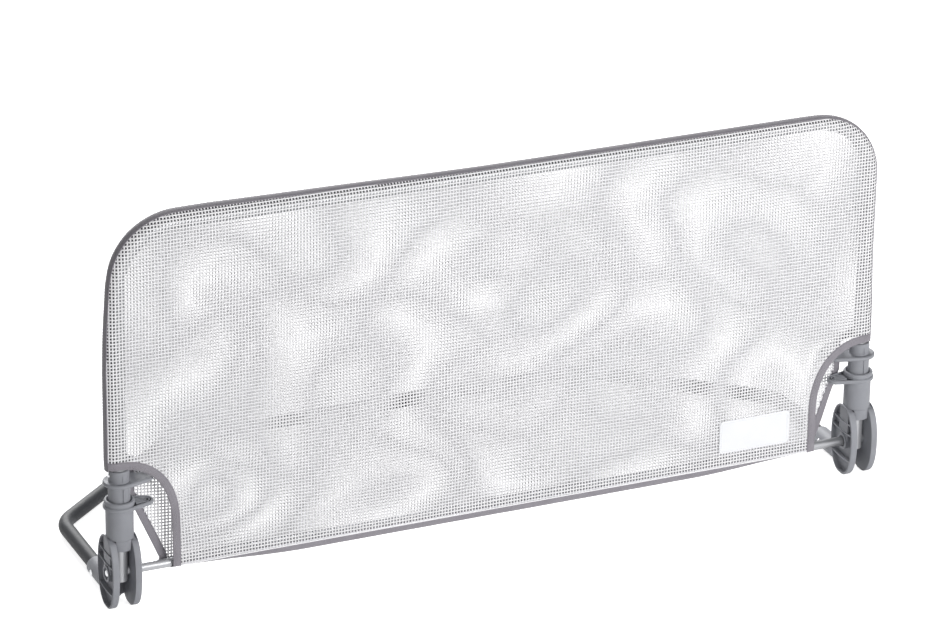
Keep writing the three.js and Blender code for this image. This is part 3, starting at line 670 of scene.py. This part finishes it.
def lock_sleeve(name, side):
    shell = Shell()
    post = side * post_x

    def ring(radius, height, flat=math.inf, sides=64):
        return [(post + max(-flat, min(flat, a)), b, height)
                for a, b in circle(radius, sides, math.pi / sides)]

    # Two prongs below the ledge, flat where they pass between the cheeks, and the round collar
    flat = collar_flat_half
    rows = [ring(collar_radius - 0.7, collar_bottom, flat - 0.3),
            ring(collar_radius - 0.15, collar_bottom + 0.3, flat),
            ring(collar_radius, collar_bottom + 0.9, flat),
            ring(collar_radius, collar_flat_top, flat),
            ring(collar_radius - 0.4, collar_flat_top + 0.02),
            ring(collar_radius, collar_flat_top + 0.4),
            ring(collar_radius, lower_plate + 1), ring(collar_bore + 0.8, lower_plate + 1.5),
            ring(collar_bore, lower_plate + 2), ring(collar_bore, collar_ledge),
            ring(post_radius + 0.6, collar_ledge), ring(post_radius + 0.6, collar_bottom)]
    shell.loft(rows, loop=True)
    finger_plate(shell, lower_plate, side, post, dish=3.2, fillet=1.5)
    low, high = lower_plate + plate_thickness - 0.6, collar_top
    rim = [(collar_bore, low), (collar_rim_radius - 0.6, low), (collar_rim_radius - 0.7, low + 1.0),
           (collar_rim_radius - 0.1, low + 1.8), (collar_rim_radius, high - 2.0),
           (collar_rim_radius - 0.5, high - 0.7), (collar_rim_radius - 1.6, high),
           (collar_bore + 1.7, high), (collar_bore + 1.3, high - 0.7), (collar_bore, high - 4.0)]
    lathe(shell, "z", rim, (post, 0, 0), 64, loop=True)
    piece = shell.piece(name + "_lock_collar", hinge_plastic)
    finish_piece(piece, name + "_lock", "hinge_plastic", name + "_lock_sleeve")


# Tubes and crossbar
def foot_height(back):
    share = max(back - foot_level_end, 0) / (foot_rear - foot_level_end)
    return -socket_drop - (rail_up - foot_radius - socket_drop) * share


def foot_tube(name, side, end_x):
    corners = [(side * post_x, foot_level_end), (side * post_x, foot_first_bend),
               (side * foot_rear_half, foot_rear), (end_x, foot_rear)]
    flat = [Vector((side * post_x, foot_start)), *rounded_route(corners, foot_bend)]
    route = [(x, y, foot_height(y)) for x, y in flat]
    tube = pipe(Shell(), route, foot_radius, foot_radius - tube_wall)
    piece = tube.piece(name + "_foot_pipe", foot_coat)
    finish_piece(piece, "base", "foot_steel", name + "_foot_tube")


def guard_frame():
    corners = [(-post_x, -post_tail), (-post_x, top_axis), (post_x, top_axis), (post_x, -post_tail)]
    route = [(x, 0, z) for x, z in rounded_route(corners, post_bend, 16)]
    tube = pipe(Shell(), route, post_radius, post_radius - tube_wall, 40)
    piece = tube.piece("guard_frame_pipe", post_coat)
    finish_piece(piece, "guard", "post_steel", "guard_tube")


for side_name, side in both_sides:
    fork_bracket(side_name, side)
    inner_sleeve(side_name, side)
    lock_sleeve(side_name, side)
foot_tube("left", -1, left_foot_end)
foot_tube("right", 1, right_foot_end)
guard_frame()
coupler = pipe(Shell(), [(x, foot_rear, foot_height(foot_rear)) for x in
                         (left_foot_end - coupler_grip, right_foot_end + coupler_grip)],
               coupler_radius, coupler_radius - tube_wall).piece("foot_joint_pipe", foot_coat)
finish_piece(coupler, "base", "foot_steel", "foot_coupler")
bar = lathe(Shell(), "x", round_over(crossbar_radius, -crossbar_half, crossbar_half, 0.6))
finish_piece(bar.piece("crossbar_rod", crossbar_plate), "base", "bright_steel", "crossbar")


# Node trees that grow pieces along lines drawn on a surface
def named(tree, name, kind="FLOAT"):
    return add_node(tree, "GeometryNodeInputNamedAttribute", {"Name": name},
                    data_type=kind).outputs["Attribute"]


def stored(tree, geometry, name, value, kind="FLOAT"):
    return made(tree, "GeometryNodeStoreNamedAttribute",
                {"Geometry": geometry, "Name": name, "Value": value}, data_type=kind)


def open_tree(name, numbers):
    """A tree with its inputs, the lines as a curve, and the way outward at each of their points."""
    tree = bpy.data.node_groups.new(name, "GeometryNodeTree")
    for label, kind in (("Lines", "Geometry"), *numbers, ("Finish", "Material")):
        tree.interface.new_socket(label, in_out="INPUT", socket_type="NodeSocket" + kind)
    tree.interface.new_socket("Mesh", in_out="OUTPUT", socket_type="NodeSocketGeometry")
    given = add_node(tree, "NodeGroupInput").outputs
    curve = made(tree, "GeometryNodeMeshToCurve", {"Mesh": given["Lines"]})
    return tree, given, curve, named(tree, "outward", "FLOAT_VECTOR")


def close_tree(tree, given, mesh):
    mesh = made(tree, "GeometryNodeSetShadeSmooth", {"Geometry": mesh})
    mesh = made(tree, "GeometryNodeRealizeInstances", {"Geometry": mesh})
    mesh = made(tree, "GeometryNodeSetMaterial", {"Geometry": mesh, "Material": given["Finish"]})
    add_node(tree, "NodeGroupOutput", {"Mesh": mesh})
    return tree


def flattened(tree, value, power, reach):
    """One coordinate of the section: its sign kept, its size raised to a power and scaled."""
    size = math_node(tree, "POWER", math_node(tree, "ABSOLUTE", value), power)
    return times(tree, times(tree, size, times(tree, reach, 0.5)), math_node(tree, "SIGN", value))


def sweep_tree():
    """Sweeps a flattened yarn, tape or rib along the lines."""
    tree, given, curve, outward = open_tree("Swept along lines", [
        ("Width", "Float"), ("Thickness", "Float"), ("Sides", "Int"), ("Squareness", "Float")])
    curve = made(tree, "GeometryNodeSetCurveNormal", {"Curve": curve, "Normal": outward},
                 mode="FREE")
    length = add_node(tree, "GeometryNodeSplineParameter").outputs["Length"]
    ring = made(tree, "GeometryNodeCurvePrimitiveCircle",
                {"Resolution": given["Sides"], "Radius": 1.0})
    ring = stored(tree, ring, "around", length)
    place = add_node(tree, "ShaderNodeSeparateXYZ",
                     {0: made(tree, "GeometryNodeInputPosition")}).outputs
    section = made(tree, "ShaderNodeCombineXYZ", {
        axis: flattened(tree, place[axis], given["Squareness"], given[size])
        for axis, size in enumerate(("Thickness", "Width"))})
    ring = made(tree, "GeometryNodeSetPosition", {"Geometry": ring, "Position": section})
    mesh = made(tree, "GeometryNodeCurveToMesh", {
        "Curve": stored(tree, curve, "along", length), "Profile Curve": ring, "Fill Caps": True})
    across = times(tree, named(tree, "around"), times(tree, given["Width"], 0.5))
    weave = made(tree, "ShaderNodeCombineXYZ", {0: named(tree, "along"), 1: across})
    return close_tree(tree, given, stored(tree, mesh, "weave", weave, "FLOAT_VECTOR"))


def stitch_tree():
    """Lays a row of rounded stitches along the lines."""
    tree, given, curve, outward = open_tree("Stitches along lines", [
        ("Pitch", "Float"), ("Stitch Length", "Float"), ("Thread Width", "Float")])
    points = made(tree, "GeometryNodeResampleCurve", {"Curve": curve, "Length": given["Pitch"]},
                  mode="LENGTH")
    stitch = made(tree, "GeometryNodeMeshUVSphere", {"Segments": 6, "Rings": 4, "Radius": 0.5})
    size = made(tree, "ShaderNodeCombineXYZ", {
        0: given["Thread Width"], 1: given["Thread Width"], 2: given["Stitch Length"]})
    stitch = made(tree, "GeometryNodeTransform", {"Geometry": stitch, "Scale": size})
    along = made(tree, "GeometryNodeInputTangent")
    turn = made(tree, "FunctionNodeAxesToRotation",
                {"Primary Axis": along, "Secondary Axis": outward},
                primary_axis="Z", secondary_axis="X")
    return close_tree(tree, given, made(tree, "GeometryNodeInstanceOnPoints", {
        "Points": points, "Instance": stitch, "Rotation": turn}))


sweeping = sweep_tree()
stitching = stitch_tree()


def grown(name, lines, tree, values):
    """Runs a node tree over lines of (place, outward) pairs and keeps what grows as a mesh."""
    points, edges, outwards = [], [], []
    for line in lines:
        start = len(points)
        points += [to_row(place) for place, _ in line]
        outwards += [tuple(outward) for _, outward in line]
        edges += [(start + k, start + k + 1) for k in range(len(line) - 1)]
    base = bpy.data.meshes.new(name + "_lines")
    base.from_pydata(points, edges, [])
    attribute = base.attributes.new("outward", "FLOAT_VECTOR", "POINT")
    attribute.data.foreach_set("vector", [value for row in outwards for value in row])
    carrier = link_object(name + "_lines", base)
    modifier = carrier.modifiers.new("Grow", "NODES")
    modifier.node_group = tree
    for socket in tree.interface.items_tree:
        if socket.item_type == "SOCKET" and socket.name in values:
            modifier[socket.identifier] = values[socket.name]
    evaluated = carrier.evaluated_get(bpy.context.evaluated_depsgraph_get())
    mesh = bpy.data.meshes.new_from_object(evaluated)
    mesh.name = name
    carrier.modifiers.remove(modifier)
    bpy.data.objects.remove(carrier)
    bpy.data.meshes.remove(base)
    return link_object(name, mesh)


def swept(name, lines, width, thickness, sides, squareness, material):
    return grown(name, lines, sweeping, {
        "Width": width * mm, "Thickness": thickness * mm, "Sides": sides,
        "Squareness": squareness, "Finish": material})


def stitched(name, lines, material, pitch, length, width):
    return grown(name, lines, stitching, {
        "Pitch": pitch * mm, "Stitch Length": length * mm, "Thread Width": width * mm,
        "Finish": material})


# Ridges on the lower finger plates
def wing_ridges(name, side):
    """Two ridges that run out along the wing, round its tip and back."""
    start, tip = collar_rim_radius + 0.2, wing_reach - wing_tip_radius
    height = lower_plate + plate_thickness - 1.5
    lines = []
    for number in range(2):
        reach = ridge_first + ridge_apart * number
        bend = [(tip + reach * math.sin(t), reach * math.cos(t))
                for t in spaced(0.0, math.pi, 14)]
        path = [(start, reach), *bend, (start, -reach)]
        lines.append([((side * (post_x - x), y, height), (0, 0, 1)) for x, y in path])
    piece = swept(name + "_plate_ridges", lines, ridge_width, ridge_height, 8, 0.6, hinge_plastic)
    finish_piece(piece, name + "_lock", "hinge_plastic")


# Screws and rivets
def domed(shell, centre, facing, head_radius, head_height, shank_radius, shank_length):
    """A domed head and its shank along X, with the head outward by facing."""
    profile = [(0, -shank_length), (shank_radius, -shank_length), (shank_radius, 0),
               (head_radius - 0.2, 0), (head_radius, 0.2)]
    profile += [(head_radius * math.cos(t), 0.2 + (head_height - 0.2) * math.sin(t))
                for t in spaced(0.0, math.pi / 2, 6)[1:]]
    if facing < 0:
        profile = [(radius, -along) for radius, along in reversed(profile)]
    return lathe(shell, "x", profile, centre, 24)


for side_name, side in both_sides:
    wing_ridges(side_name, side)
    pocket = (side * (post_x + cheek_outer - pocket_depth + 0.2), 0, 0)
    screw = domed(Shell(), pocket, side, *screw_dome)
    finish_piece(screw.piece(side_name + "_axle_dome", fastener_steel), "base", "bright_steel",
                 side_name + "_axle_screw")
    neck = (side * (post_x + neck_radius), 0, sleeve_dome_up)
    rivet = domed(Shell(), neck, side, *sleeve_dome)
    finish_piece(rivet.piece(side_name + "_sleeve_dome", fastener_steel), "guard", "bright_steel",
                 side_name + "_sleeve_rivet")
    pair = Shell()
    for facing in (-1, 1):
        place = (side * post_x + facing * socket_radius, socket_dome_back, -socket_drop)
        domed(pair, place, facing, *socket_dome)
    finish_piece(pair.piece(side_name + "_socket_domes", fastener_steel), "base", "bright_steel",
                 side_name + "_socket_rivet")
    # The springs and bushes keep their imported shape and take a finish
    for node, material in (("_return_spring", spring_steel), ("_pivot_bush", bush_nylon)):
        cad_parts[side_name + node].data.materials[0] = material


# The cover's surface: flat across the frame, and bent round the tube at its top and sides
def smooth(value, low, high):
    share = min(max((value - low) / (high - low), 0), 1)
    return share * share * (3 - 2 * share)


def edge_slack(u, v):
    """The cover's slack where its edge is nearest to a place on the panel."""
    turn = math.atan2(max(v - bend_z, 0.0), max(abs(u) - bend_x, 1e-6))
    travelled = min(v, bend_z) + turn * post_bend + max(bend_x - abs(u), 0.0)
    if u > 0:
        travelled = 2 * (bend_x + bend_z) + math.pi * post_bend - travelled
    last_way, last_slack = cover_slack[0]
    for way, slack in cover_slack:
        if travelled < way:
            share = (travelled - last_way) / max(way - last_way, 1)
            return last_slack + (slack - last_slack) * max(share, 0)
        last_way, last_slack = way, slack
    return last_slack


def rear_bulge(u, v):
    """How far the rear net stands back where it passes behind a finger plate."""
    inward = post_x - abs(u)
    across = min(max(1 - (inward - rear_cut_neck) / bulge_reach, 0), 1)
    return bulge_depth * across * smooth(v, 0, 60) * (1 - smooth(v, 107, 127))


def cloth_wave(u, v, face):
    """Soft hollows and swells of the stretched net, none where it lies on the tube."""
    held = smooth(min(post_x - abs(u), top_axis - v), 6, 70) * smooth(v, -4, 60)
    spot = Vector((u * swell_scale[0], v * swell_scale[1], 4.0 + 9.0 * face))
    return swell_height * held * noise.noise(spot)


def cover_place(u, v, lift, face):
    """A place on the cover and the way it faces. u runs along the rail and v up, over the tube."""
    mx, mz = max(abs(u) - bend_x, 0.0), max(v - bend_z, 0.0)
    reach = math.hypot(mx, mz)
    nx, nz = (mx / reach, mz / reach) if reach > 1e-6 else (0.0, 0.0)
    straight = post_bend + (edge_slack(u, v) if reach > 1e-6 else 0.0)
    turn = max(reach - straight, 0.0) / cover_radius
    side = -1.0 if u < 0 else 1.0
    depth = (cover_radius + lift) * math.cos(turn) + cloth_wave(u, v, face)
    if face > 0:
        depth += rear_bulge(u, v)
    out = min(reach, straight) + (cover_radius + lift) * math.sin(turn)
    place = (side * (min(abs(u), bend_x) + nx * out), face * depth, min(v, bend_z) + nz * out)
    outward = (side * nx * math.sin(turn), face * math.cos(turn), nz * math.sin(turn))
    return place, outward


def followed(start, end, lift, face, drift, rough=0.05, longest=17.0, shortest=2.2):
    """A thread from one place on the cover to another, with more points where it bends."""
    def at(share):
        u = start[0] + (end[0] - start[0]) * share
        v = start[1] + (end[1] - start[1]) * share
        du, dv = drift(u, v)
        return cover_place(u + du, v + dv, lift, face)

    total = math.hypot(end[0] - start[0], end[1] - start[1])
    shares = spaced(0.0, 1.0, max(int(total / longest), 1))
    line = [(shares[0], at(shares[0]))]
    for share in shares[1:]:
        stack = [(share, at(share))]
        while stack:
            next_share, next_place = stack[-1]
            last_share, last_place = line[-1]
            middle = (last_share + next_share) / 2
            place = at(middle)
            chord = (Vector(last_place[0]) + Vector(next_place[0])) / 2
            away = (Vector(place[0]) - chord).length
            if away > rough and (next_share - last_share) * total > shortest:
                stack.append((middle, place))
            else:
                line.append(stack.pop())
    return [place for _, place in line]


def front_cut_reach(v, grow=0.0):
    """How far inward of the post the front panel's corner cut reaches at a height."""
    if v > cut_top + grow:
        return no_cut
    share = max(v - front_cut_straight, 0) / (cut_top + grow - front_cut_straight)
    span = front_cut_depth + grow - front_cut_centre
    return front_cut_centre + span * max(1 - share ** cheek_power, 0) ** (1 / cheek_power)


def rear_cut_reach(v, grow=0.0):
    if v > cut_top + grow:
        return no_cut
    share = min(max((v - rear_cut_rise) / (rear_neck_height - rear_cut_rise), 0), 1)
    return rear_cut_foot + (rear_cut_neck - rear_cut_foot) * share + grow


def inside_panel(u, v, cut_reach):
    """Whether a place is on the net: above the hem, short of the seam and clear of corner cuts."""
    reach = math.hypot(max(abs(u) - post_x + post_bend, 0.0), max(v - top_axis + post_bend, 0.0))
    if v < cover_floor:
        return False
    if reach > post_bend and reach > post_bend + cover_arc + edge_slack(u, v):
        return False
    return post_x - abs(u) > cut_reach(v, net_tuck)


def stretches(start, way, length, cut_reach, step=3.0):
    """The parts of a straight line on the cover that lie inside the net, as pairs of ends."""
    def at(distance):
        return start[0] + way[0] * distance, start[1] + way[1] * distance

    found, begin = [], None
    for k in range(1, int(length / step)):
        ahead = inside_panel(*at(k * step), cut_reach)
        if ahead == (begin is not None):
            continue
        low, high = (k - 1) * step, k * step
        for _ in range(6):
            middle = (low + high) / 2
            if inside_panel(*at(middle), cut_reach) == ahead:
                high = middle
            else:
                low = middle
        if ahead:
            begin = high
        else:
            if low - begin > shortest_yarn:
                found.append((at(begin), at(low)))
            begin = None
    return found


def net_lines(face, cut_reach, pitch, turn):
    """Every upright and level yarn of one net, each cut off under the tape and at the seams."""
    def drift(u, v):
        spot = Vector((u * stray_scale[0], v * stray_scale[1], 31.0 + 17.0 * face))
        free = smooth(min(post_x - abs(u), top_axis - v), 10, 120) * smooth(v, 0, 50)
        loose = stray_at_edge + (1 - stray_at_edge) * free
        across, up = noise.noise(spot), noise.noise(spot + Vector((5.3, 1.7, 8.1)))
        return stray[0] * loose * across, stray[1] * loose * up

    centre = (0.0, top_axis / 2)
    reach = math.hypot(post_x, top_axis / 2) + 3 * cover_arc
    lines = []
    for way, step, lift in (((math.sin(turn), math.cos(turn)), pitch[0], -0.04),
                            ((math.cos(turn), -math.sin(turn)), pitch[1], 0.04)):
        count = int(reach / step)
        for k in range(-count, count + 1):
            start = (centre[0] + way[1] * k * step - way[0] * reach,
                     centre[1] - way[0] * k * step - way[1] * reach)
            lines += [followed(low, high, lift, face, drift)
                      for low, high in stretches(start, way, 2 * reach, cut_reach)]
    return lines


def net(name, face, cut_reach, node, pitch, turn):
    lines = net_lines(face, cut_reach, pitch, turn)
    piece = swept(name, lines, yarn_width, yarn_thickness, 4, 1.0, net_yarn)
    return finish_piece(piece, "guard", "white_mesh", node)


# The rear net is knitted a little closer and turned a little, so the two make slow swirls together
front_net = net("front_net", -1, front_cut_reach, "front_mesh", front_pitch, 0.0)
rear_net = net("rear_net", 1, rear_cut_reach, "rear_mesh", rear_pitch, rear_turn)


# Tape round the corner cuts
def edge_end(side):
    """Where the corner tape ends at the seam, outward of the post."""
    return -cover_arc - edge_slack(side * (post_x + cover_arc), cut_top)


def front_cut_path(side, steps=36):
    path = [(front_cut_depth, cover_floor)]
    span, rise = front_cut_depth - front_cut_centre, cut_top - front_cut_straight
    for t in spaced(0.0, math.pi / 2, steps):
        path.append((front_cut_centre + span * max(math.cos(t), 0) ** (2 / cheek_power),
                     front_cut_straight + rise * math.sin(t) ** (2 / cheek_power)))
    path.append((edge_end(side), cut_top))
    return path


def rear_cut_path(side):
    corners = [(rear_cut_neck, rear_neck_height), (rear_cut_neck, cut_top),
               (edge_end(side), cut_top)]
    return [(rear_cut_foot, cover_floor), (rear_cut_foot, rear_cut_rise),
            *[tuple(point) for point in rounded_route(corners, 6.0, 8)]]


def beside(path, distance):
    """The same open path moved into the cloth by a distance."""
    moved = []
    steps = [(Vector(b) - Vector(a)).normalized() for a, b in zip(path, path[1:])]
    for here, first, second in zip(map(Vector, path), steps[:1] + steps, steps + steps[-1:]):
        along = (first + second).normalized()
        stretch = 1 / max(along.dot(first), 0.6)
        moved.append((here.x + along.y * distance * stretch, here.y - along.x * distance * stretch))
    return moved


def on_cover(path, side, face, lift=0.0, longest=4.0):
    """Places on the cover along a path given as distances inward of a post and heights."""
    line = []
    for i in range(len(path) - 1):
        a, b = Vector(path[i]), Vector(path[i + 1])
        count = max(int((b - a).length / longest), 1)
        for k in range(count + (i == len(path) - 2)):
            inward, v = a + (b - a) * (k / count)
            line.append(cover_place(side * (post_x - inward), v, lift, face))
    return line


for side_name, side in both_sides:
    for face_name, face in both_faces:
        path = front_cut_path(side) if face < 0 else rear_cut_path(side)
        name = f"{side_name}_{face_name}"
        middle = beside(path, tape_width / 2)
        tape = swept(name + "_tape", [on_cover(middle, side, face, 0.1)],
                     tape_width, tape_thickness, 16, 0.45, grey_tape)
        finish_piece(tape, "guard", "grey_tape", name + "_binding")
        rows = [on_cover(beside(path, tape_width - 1.3), side, face, lift)
                for lift in (0.72, -0.55)]
        seam = stitched(name + "_tape_stitches", rows, grey_thread, *tape_stitch)
        finish_piece(seam, "guard", "grey_tape")


# Edge gusset over the tube, between the two seams
seam_turn = math.pi / 2 - cover_arc / cover_radius


def edge_path():
    """The middle line of the cover's edge between the corner cuts, with the way outward."""
    left = [((-post_x, cut_top - 1.5), (-1.0, 0.0))]
    left += [((-post_x, z), (-1.0, 0.0)) for z in range(130, int(bend_z), 12)]
    for t in spaced(0.0, math.pi / 2, 16):
        way = (-math.cos(t), math.sin(t))
        left.append(((-bend_x + post_bend * way[0], bend_z + post_bend * way[1]), way))
    across = [((x, top_axis), (0.0, 1.0)) for x in range(-int(bend_x) + 12, int(bend_x), 12)]
    right = [((-x, z), (-nx, nz)) for (x, z), (nx, nz) in reversed(left)]
    path = []
    for (x, z), (nx, nz) in [*left, *across, *right]:
        slack = edge_slack(x + nx, z + nz)
        path.append(((x + nx * slack, z + nz * slack), (nx, nz)))
    return path


gusset_path = edge_path()


def off_edge(spot, turn, radius):
    """A place round the edge's middle line, at a turn from straight outward, and the way out."""
    (x, z), (nx, nz) = spot
    out = radius * math.cos(turn)
    return ((x + nx * out, radius * math.sin(turn), z + nz * out),
            (nx * math.cos(turn), math.sin(turn), nz * math.cos(turn)))


def edge_band(name, low, high, inner, outer, swell=0.0, material=grey_tape):
    """Cloth wrapped round the tube along its edge, between two turns from straight outward."""
    section = [(t, outer + swell * math.sin(math.pi * k / 8))
               for k, t in enumerate(spaced(low, high, 8))]
    section += [(t, inner) for t, _ in reversed(section)]
    shell = Shell()
    rings = []
    travelled, last = 0.0, gusset_path[0][0]
    for spot in gusset_path:
        travelled += math.hypot(spot[0][0] - last[0], spot[0][1] - last[1])
        last = spot[0]
        rings.append([off_edge(spot, t, radius)[0] for t, radius in section])
        shell.weave += [(travelled * mm, t * radius * mm, 0.0) for t, radius in section]
    return shell.loft(rings).piece(name, material, sharp=50)


gusset = edge_band("edge_gusset_cloth", -seam_turn - 0.03, seam_turn + 0.03,
                   cover_radius - 0.35, cover_radius + 0.55, 0.25)
finish_piece(gusset, "guard", "grey_tape", "edge_gusset")


def seam_line(face, turn, radius):
    return [off_edge(spot, face * turn, radius) for spot in gusset_path]


# Along each seam a folded ridge and a row of stitches, and its turned-in edge inside the net,
# coloured near black as painted shade of the dark gap between the net and the tube
for face_name, face in both_faces:
    fold_line = seam_line(face, seam_turn - 0.03, cover_radius + 0.5)
    stitch_line = seam_line(face, seam_turn - 0.17, cover_radius + 0.78)
    turns = sorted((face * (seam_turn - 0.04), face * (seam_turn + seam_margin / post_radius)))
    for piece in (
            swept(face_name + "_seam_ridge", [fold_line], 1.1, 0.8, 8, 0.9, grey_tape),
            stitched(face_name + "_seam_stitches", [stitch_line], grey_thread, *seam_stitch),
            # The seam margin's near-black finish is painted shade
            edge_band(face_name + "_seam_margin", *turns, post_radius + 0.06, post_radius + 0.32,
                      material=seam_painted_shade)):
        finish_piece(piece, "guard", "grey_tape")


# Hem under the crossbar, which hangs lowest in the middle
hem_half = post_x - front_cut_depth - 0.3


def hem_place(x, share, lift):
    """A place on the hem: share runs from -1 at the front net to 1 at the rear net."""
    fall = smooth(hem_half - abs(x), 0, hem_taper)
    deep = hem_end_depth + (hem_depth - hem_end_depth) * fall
    deep += 0.3 * noise.noise(Vector((x * 0.02, share, 3.0))) + lift
    t = math.pi / 2 * share
    spread = share + (math.sin(t) - share) * fall
    drop = 1 - abs(share) ** 1.15
    drop += (max(math.cos(t), 0.0) ** 0.72 - drop) * fall
    return x, (hem_spread + lift) * spread, cover_floor - deep * drop


def hem(rows=90, across=16):
    shell = Shell()
    rings = []
    top = cover_floor + hem_tuck
    for along in spaced(-1, 1, rows):
        x = hem_half * along
        walls = []
        for lift in (hem_cloth_half, -hem_cloth_half):
            y = hem_spread + lift
            bent = [hem_place(x, share, lift) for share in spaced(-1, 1, across)]
            walls.append([(x, -y, top), *bent, (x, y, top)])
        ring = walls[0] + walls[1][::-1]
        shell.weave += [(x * mm, (z - y) * mm, 0.0) for _, y, z in ring]
        rings.append(ring)
    piece = shell.loft(rings).piece("hem_cloth", grey_tape, sharp=50)
    return finish_piece(piece, "guard", "grey_tape", "hem_strip")


def hem_line(reach, face, v, lift, count=110):
    return [cover_place(u, v, lift, face) for u in spaced(-reach, reach, count)]


hem_cloth = hem()
for face_name, face in both_faces:
    reach = hem_half - 2 if face < 0 else post_x - rear_cut_foot - 3
    fold = swept(f"{face_name}_hem_fold", [hem_line(reach, face, cover_floor + 0.35, 0.05)],
                 1.3, 1.0, 8, 0.8, net_yarn)
    finish_piece(fold, "guard", "white_mesh")
    rows = stitched(f"{face_name}_hem_stitches", [hem_line(reach, face, cover_floor + 2.0, 0.42)],
                    white_thread, *hem_stitch)
    finish_piece(rows, "guard", "white_mesh")


# Bare sewn patch
def patch_places(inset, lift, corner_steps=6):
    """The patch's rounded outline drawn in by an inset, as places and the way they face."""
    half_x, half_z = patch_width / 2 - inset, patch_height / 2 - inset
    corner = max(patch_corner - inset, 0.6)
    line = []
    for cx, cz, first in ((1, -1, -90), (1, 1, 0), (-1, 1, 90), (-1, -1, 180)):
        for t in map(math.radians, spaced(first, first + 90, corner_steps)):
            line.append((cx * (half_x - corner) + corner * math.cos(t),
                         cz * (half_z - corner) + corner * math.sin(t)))
    centre = post_x - patch_from_post
    return [cover_place(centre + x, patch_centre_z + z, lift, -1) for x, z in line]


def patch():
    """Cloth laid over the net, a little slack between its stitches."""
    shell = Shell()
    rings = []
    for inset, lift in ((0.9, 0.35), (0.3, 0.4), (0.0, 0.6), (0.25, 0.95), (0.9, 1.12), (2.6, 0.98),
                        (4.5, 1.12), (8.0, 1.2), (12.0, 1.26), (16.0, 1.3)):
        ring = [(x, y - 0.12 * noise.noise(Vector((x * 0.08, z * 0.08, 2.0))), z)
                for (x, y, z), _ in patch_places(inset, lift)]
        rings.append(ring)
        shell.weave += [(x * mm, z * mm, 0.0) for x, _, z in ring]
    piece = shell.loft(rings).piece("bare_patch", patch_cloth, sharp=60)
    finish_piece(piece, "guard", "patch_cloth", "sewn_patch")
    border = patch_places(2.6, 1.1)
    seam = stitched("patch_stitches", [border + border[:1]], white_thread, *patch_stitch)
    finish_piece(seam, "guard", "patch_cloth")


patch()


# Floor, backdrop and studio light
def seen_rays(tree):
    """One for rays that show a surface to the camera, straight or mirrored, else nought."""
    rays = add_node(tree, "ShaderNodeLightPath").outputs
    mirrored = math_node(tree, "MAXIMUM", rays["Is Glossy Ray"], rays["Is Transmission Ray"])
    return math_node(tree, "MAXIMUM", rays["Is Camera Ray"], mirrored)


# Pale matt floor, white where the camera or a mirror sees it, with the object's shadow kept
floor_finish, tree = new_material("studio_floor")
shade(floor_finish, {
    "Base Color": (floor_white, floor_white, floor_white, 1.0), "Roughness": 0.9,
    "Specular IOR Level": 0.1, "Emission Color": (1.0, 1.0, 1.0, 1.0),
    "Emission Strength": between(tree, seen_rays(tree), 0.0, floor_glow)})
floor_mesh = bpy.data.meshes.new("studio_floor")
floor_mesh.from_pydata([(x * floor_half, y * floor_half, -floor_drop)
                        for x, y in ((-1, -1), (1, -1), (1, 1), (-1, 1))], [], [(0, 1, 2, 3)])
floor_mesh.materials.append(floor_finish)
link_object("studio_floor", floor_mesh)

world = bpy.data.worlds.new("studio")
bpy.context.scene.world = world
world.use_nodes = True
sky = world.node_tree
fill(sky, sky.nodes["Background"], {
    "Color": (1.0, 1.0, 1.0, 1.0), "Strength": between(sky, seen_rays(sky), sky_light, 1.0)})

for name, place, size, power in lamps:
    data = bpy.data.lights.new(name, "AREA")
    data.shape = "RECTANGLE"
    data.size, data.size_y = size
    data.energy = power
    lamp = link_object(name, data)
    lamp.location = place
    ahead = Vector(lamp_aim) - Vector(place)
    lamp.rotation_euler = ahead.to_track_quat("-Z", "Y").to_euler()

camera_data = bpy.data.cameras.new("photo_camera")
camera_data.sensor_width = camera_film
camera_data.lens = camera_lens
camera_data.clip_end = 100.0
camera = link_object("photo_camera", camera_data)
rows = zip(camera_right, camera_up, camera_ahead, camera_place)
camera.matrix_world = Matrix([*((x, y, -z, place) for x, y, z, place in rows), (0, 0, 0, 1)])
bpy.context.scene.camera = camera
bpy.context.scene.view_settings.view_transform = "Standard"
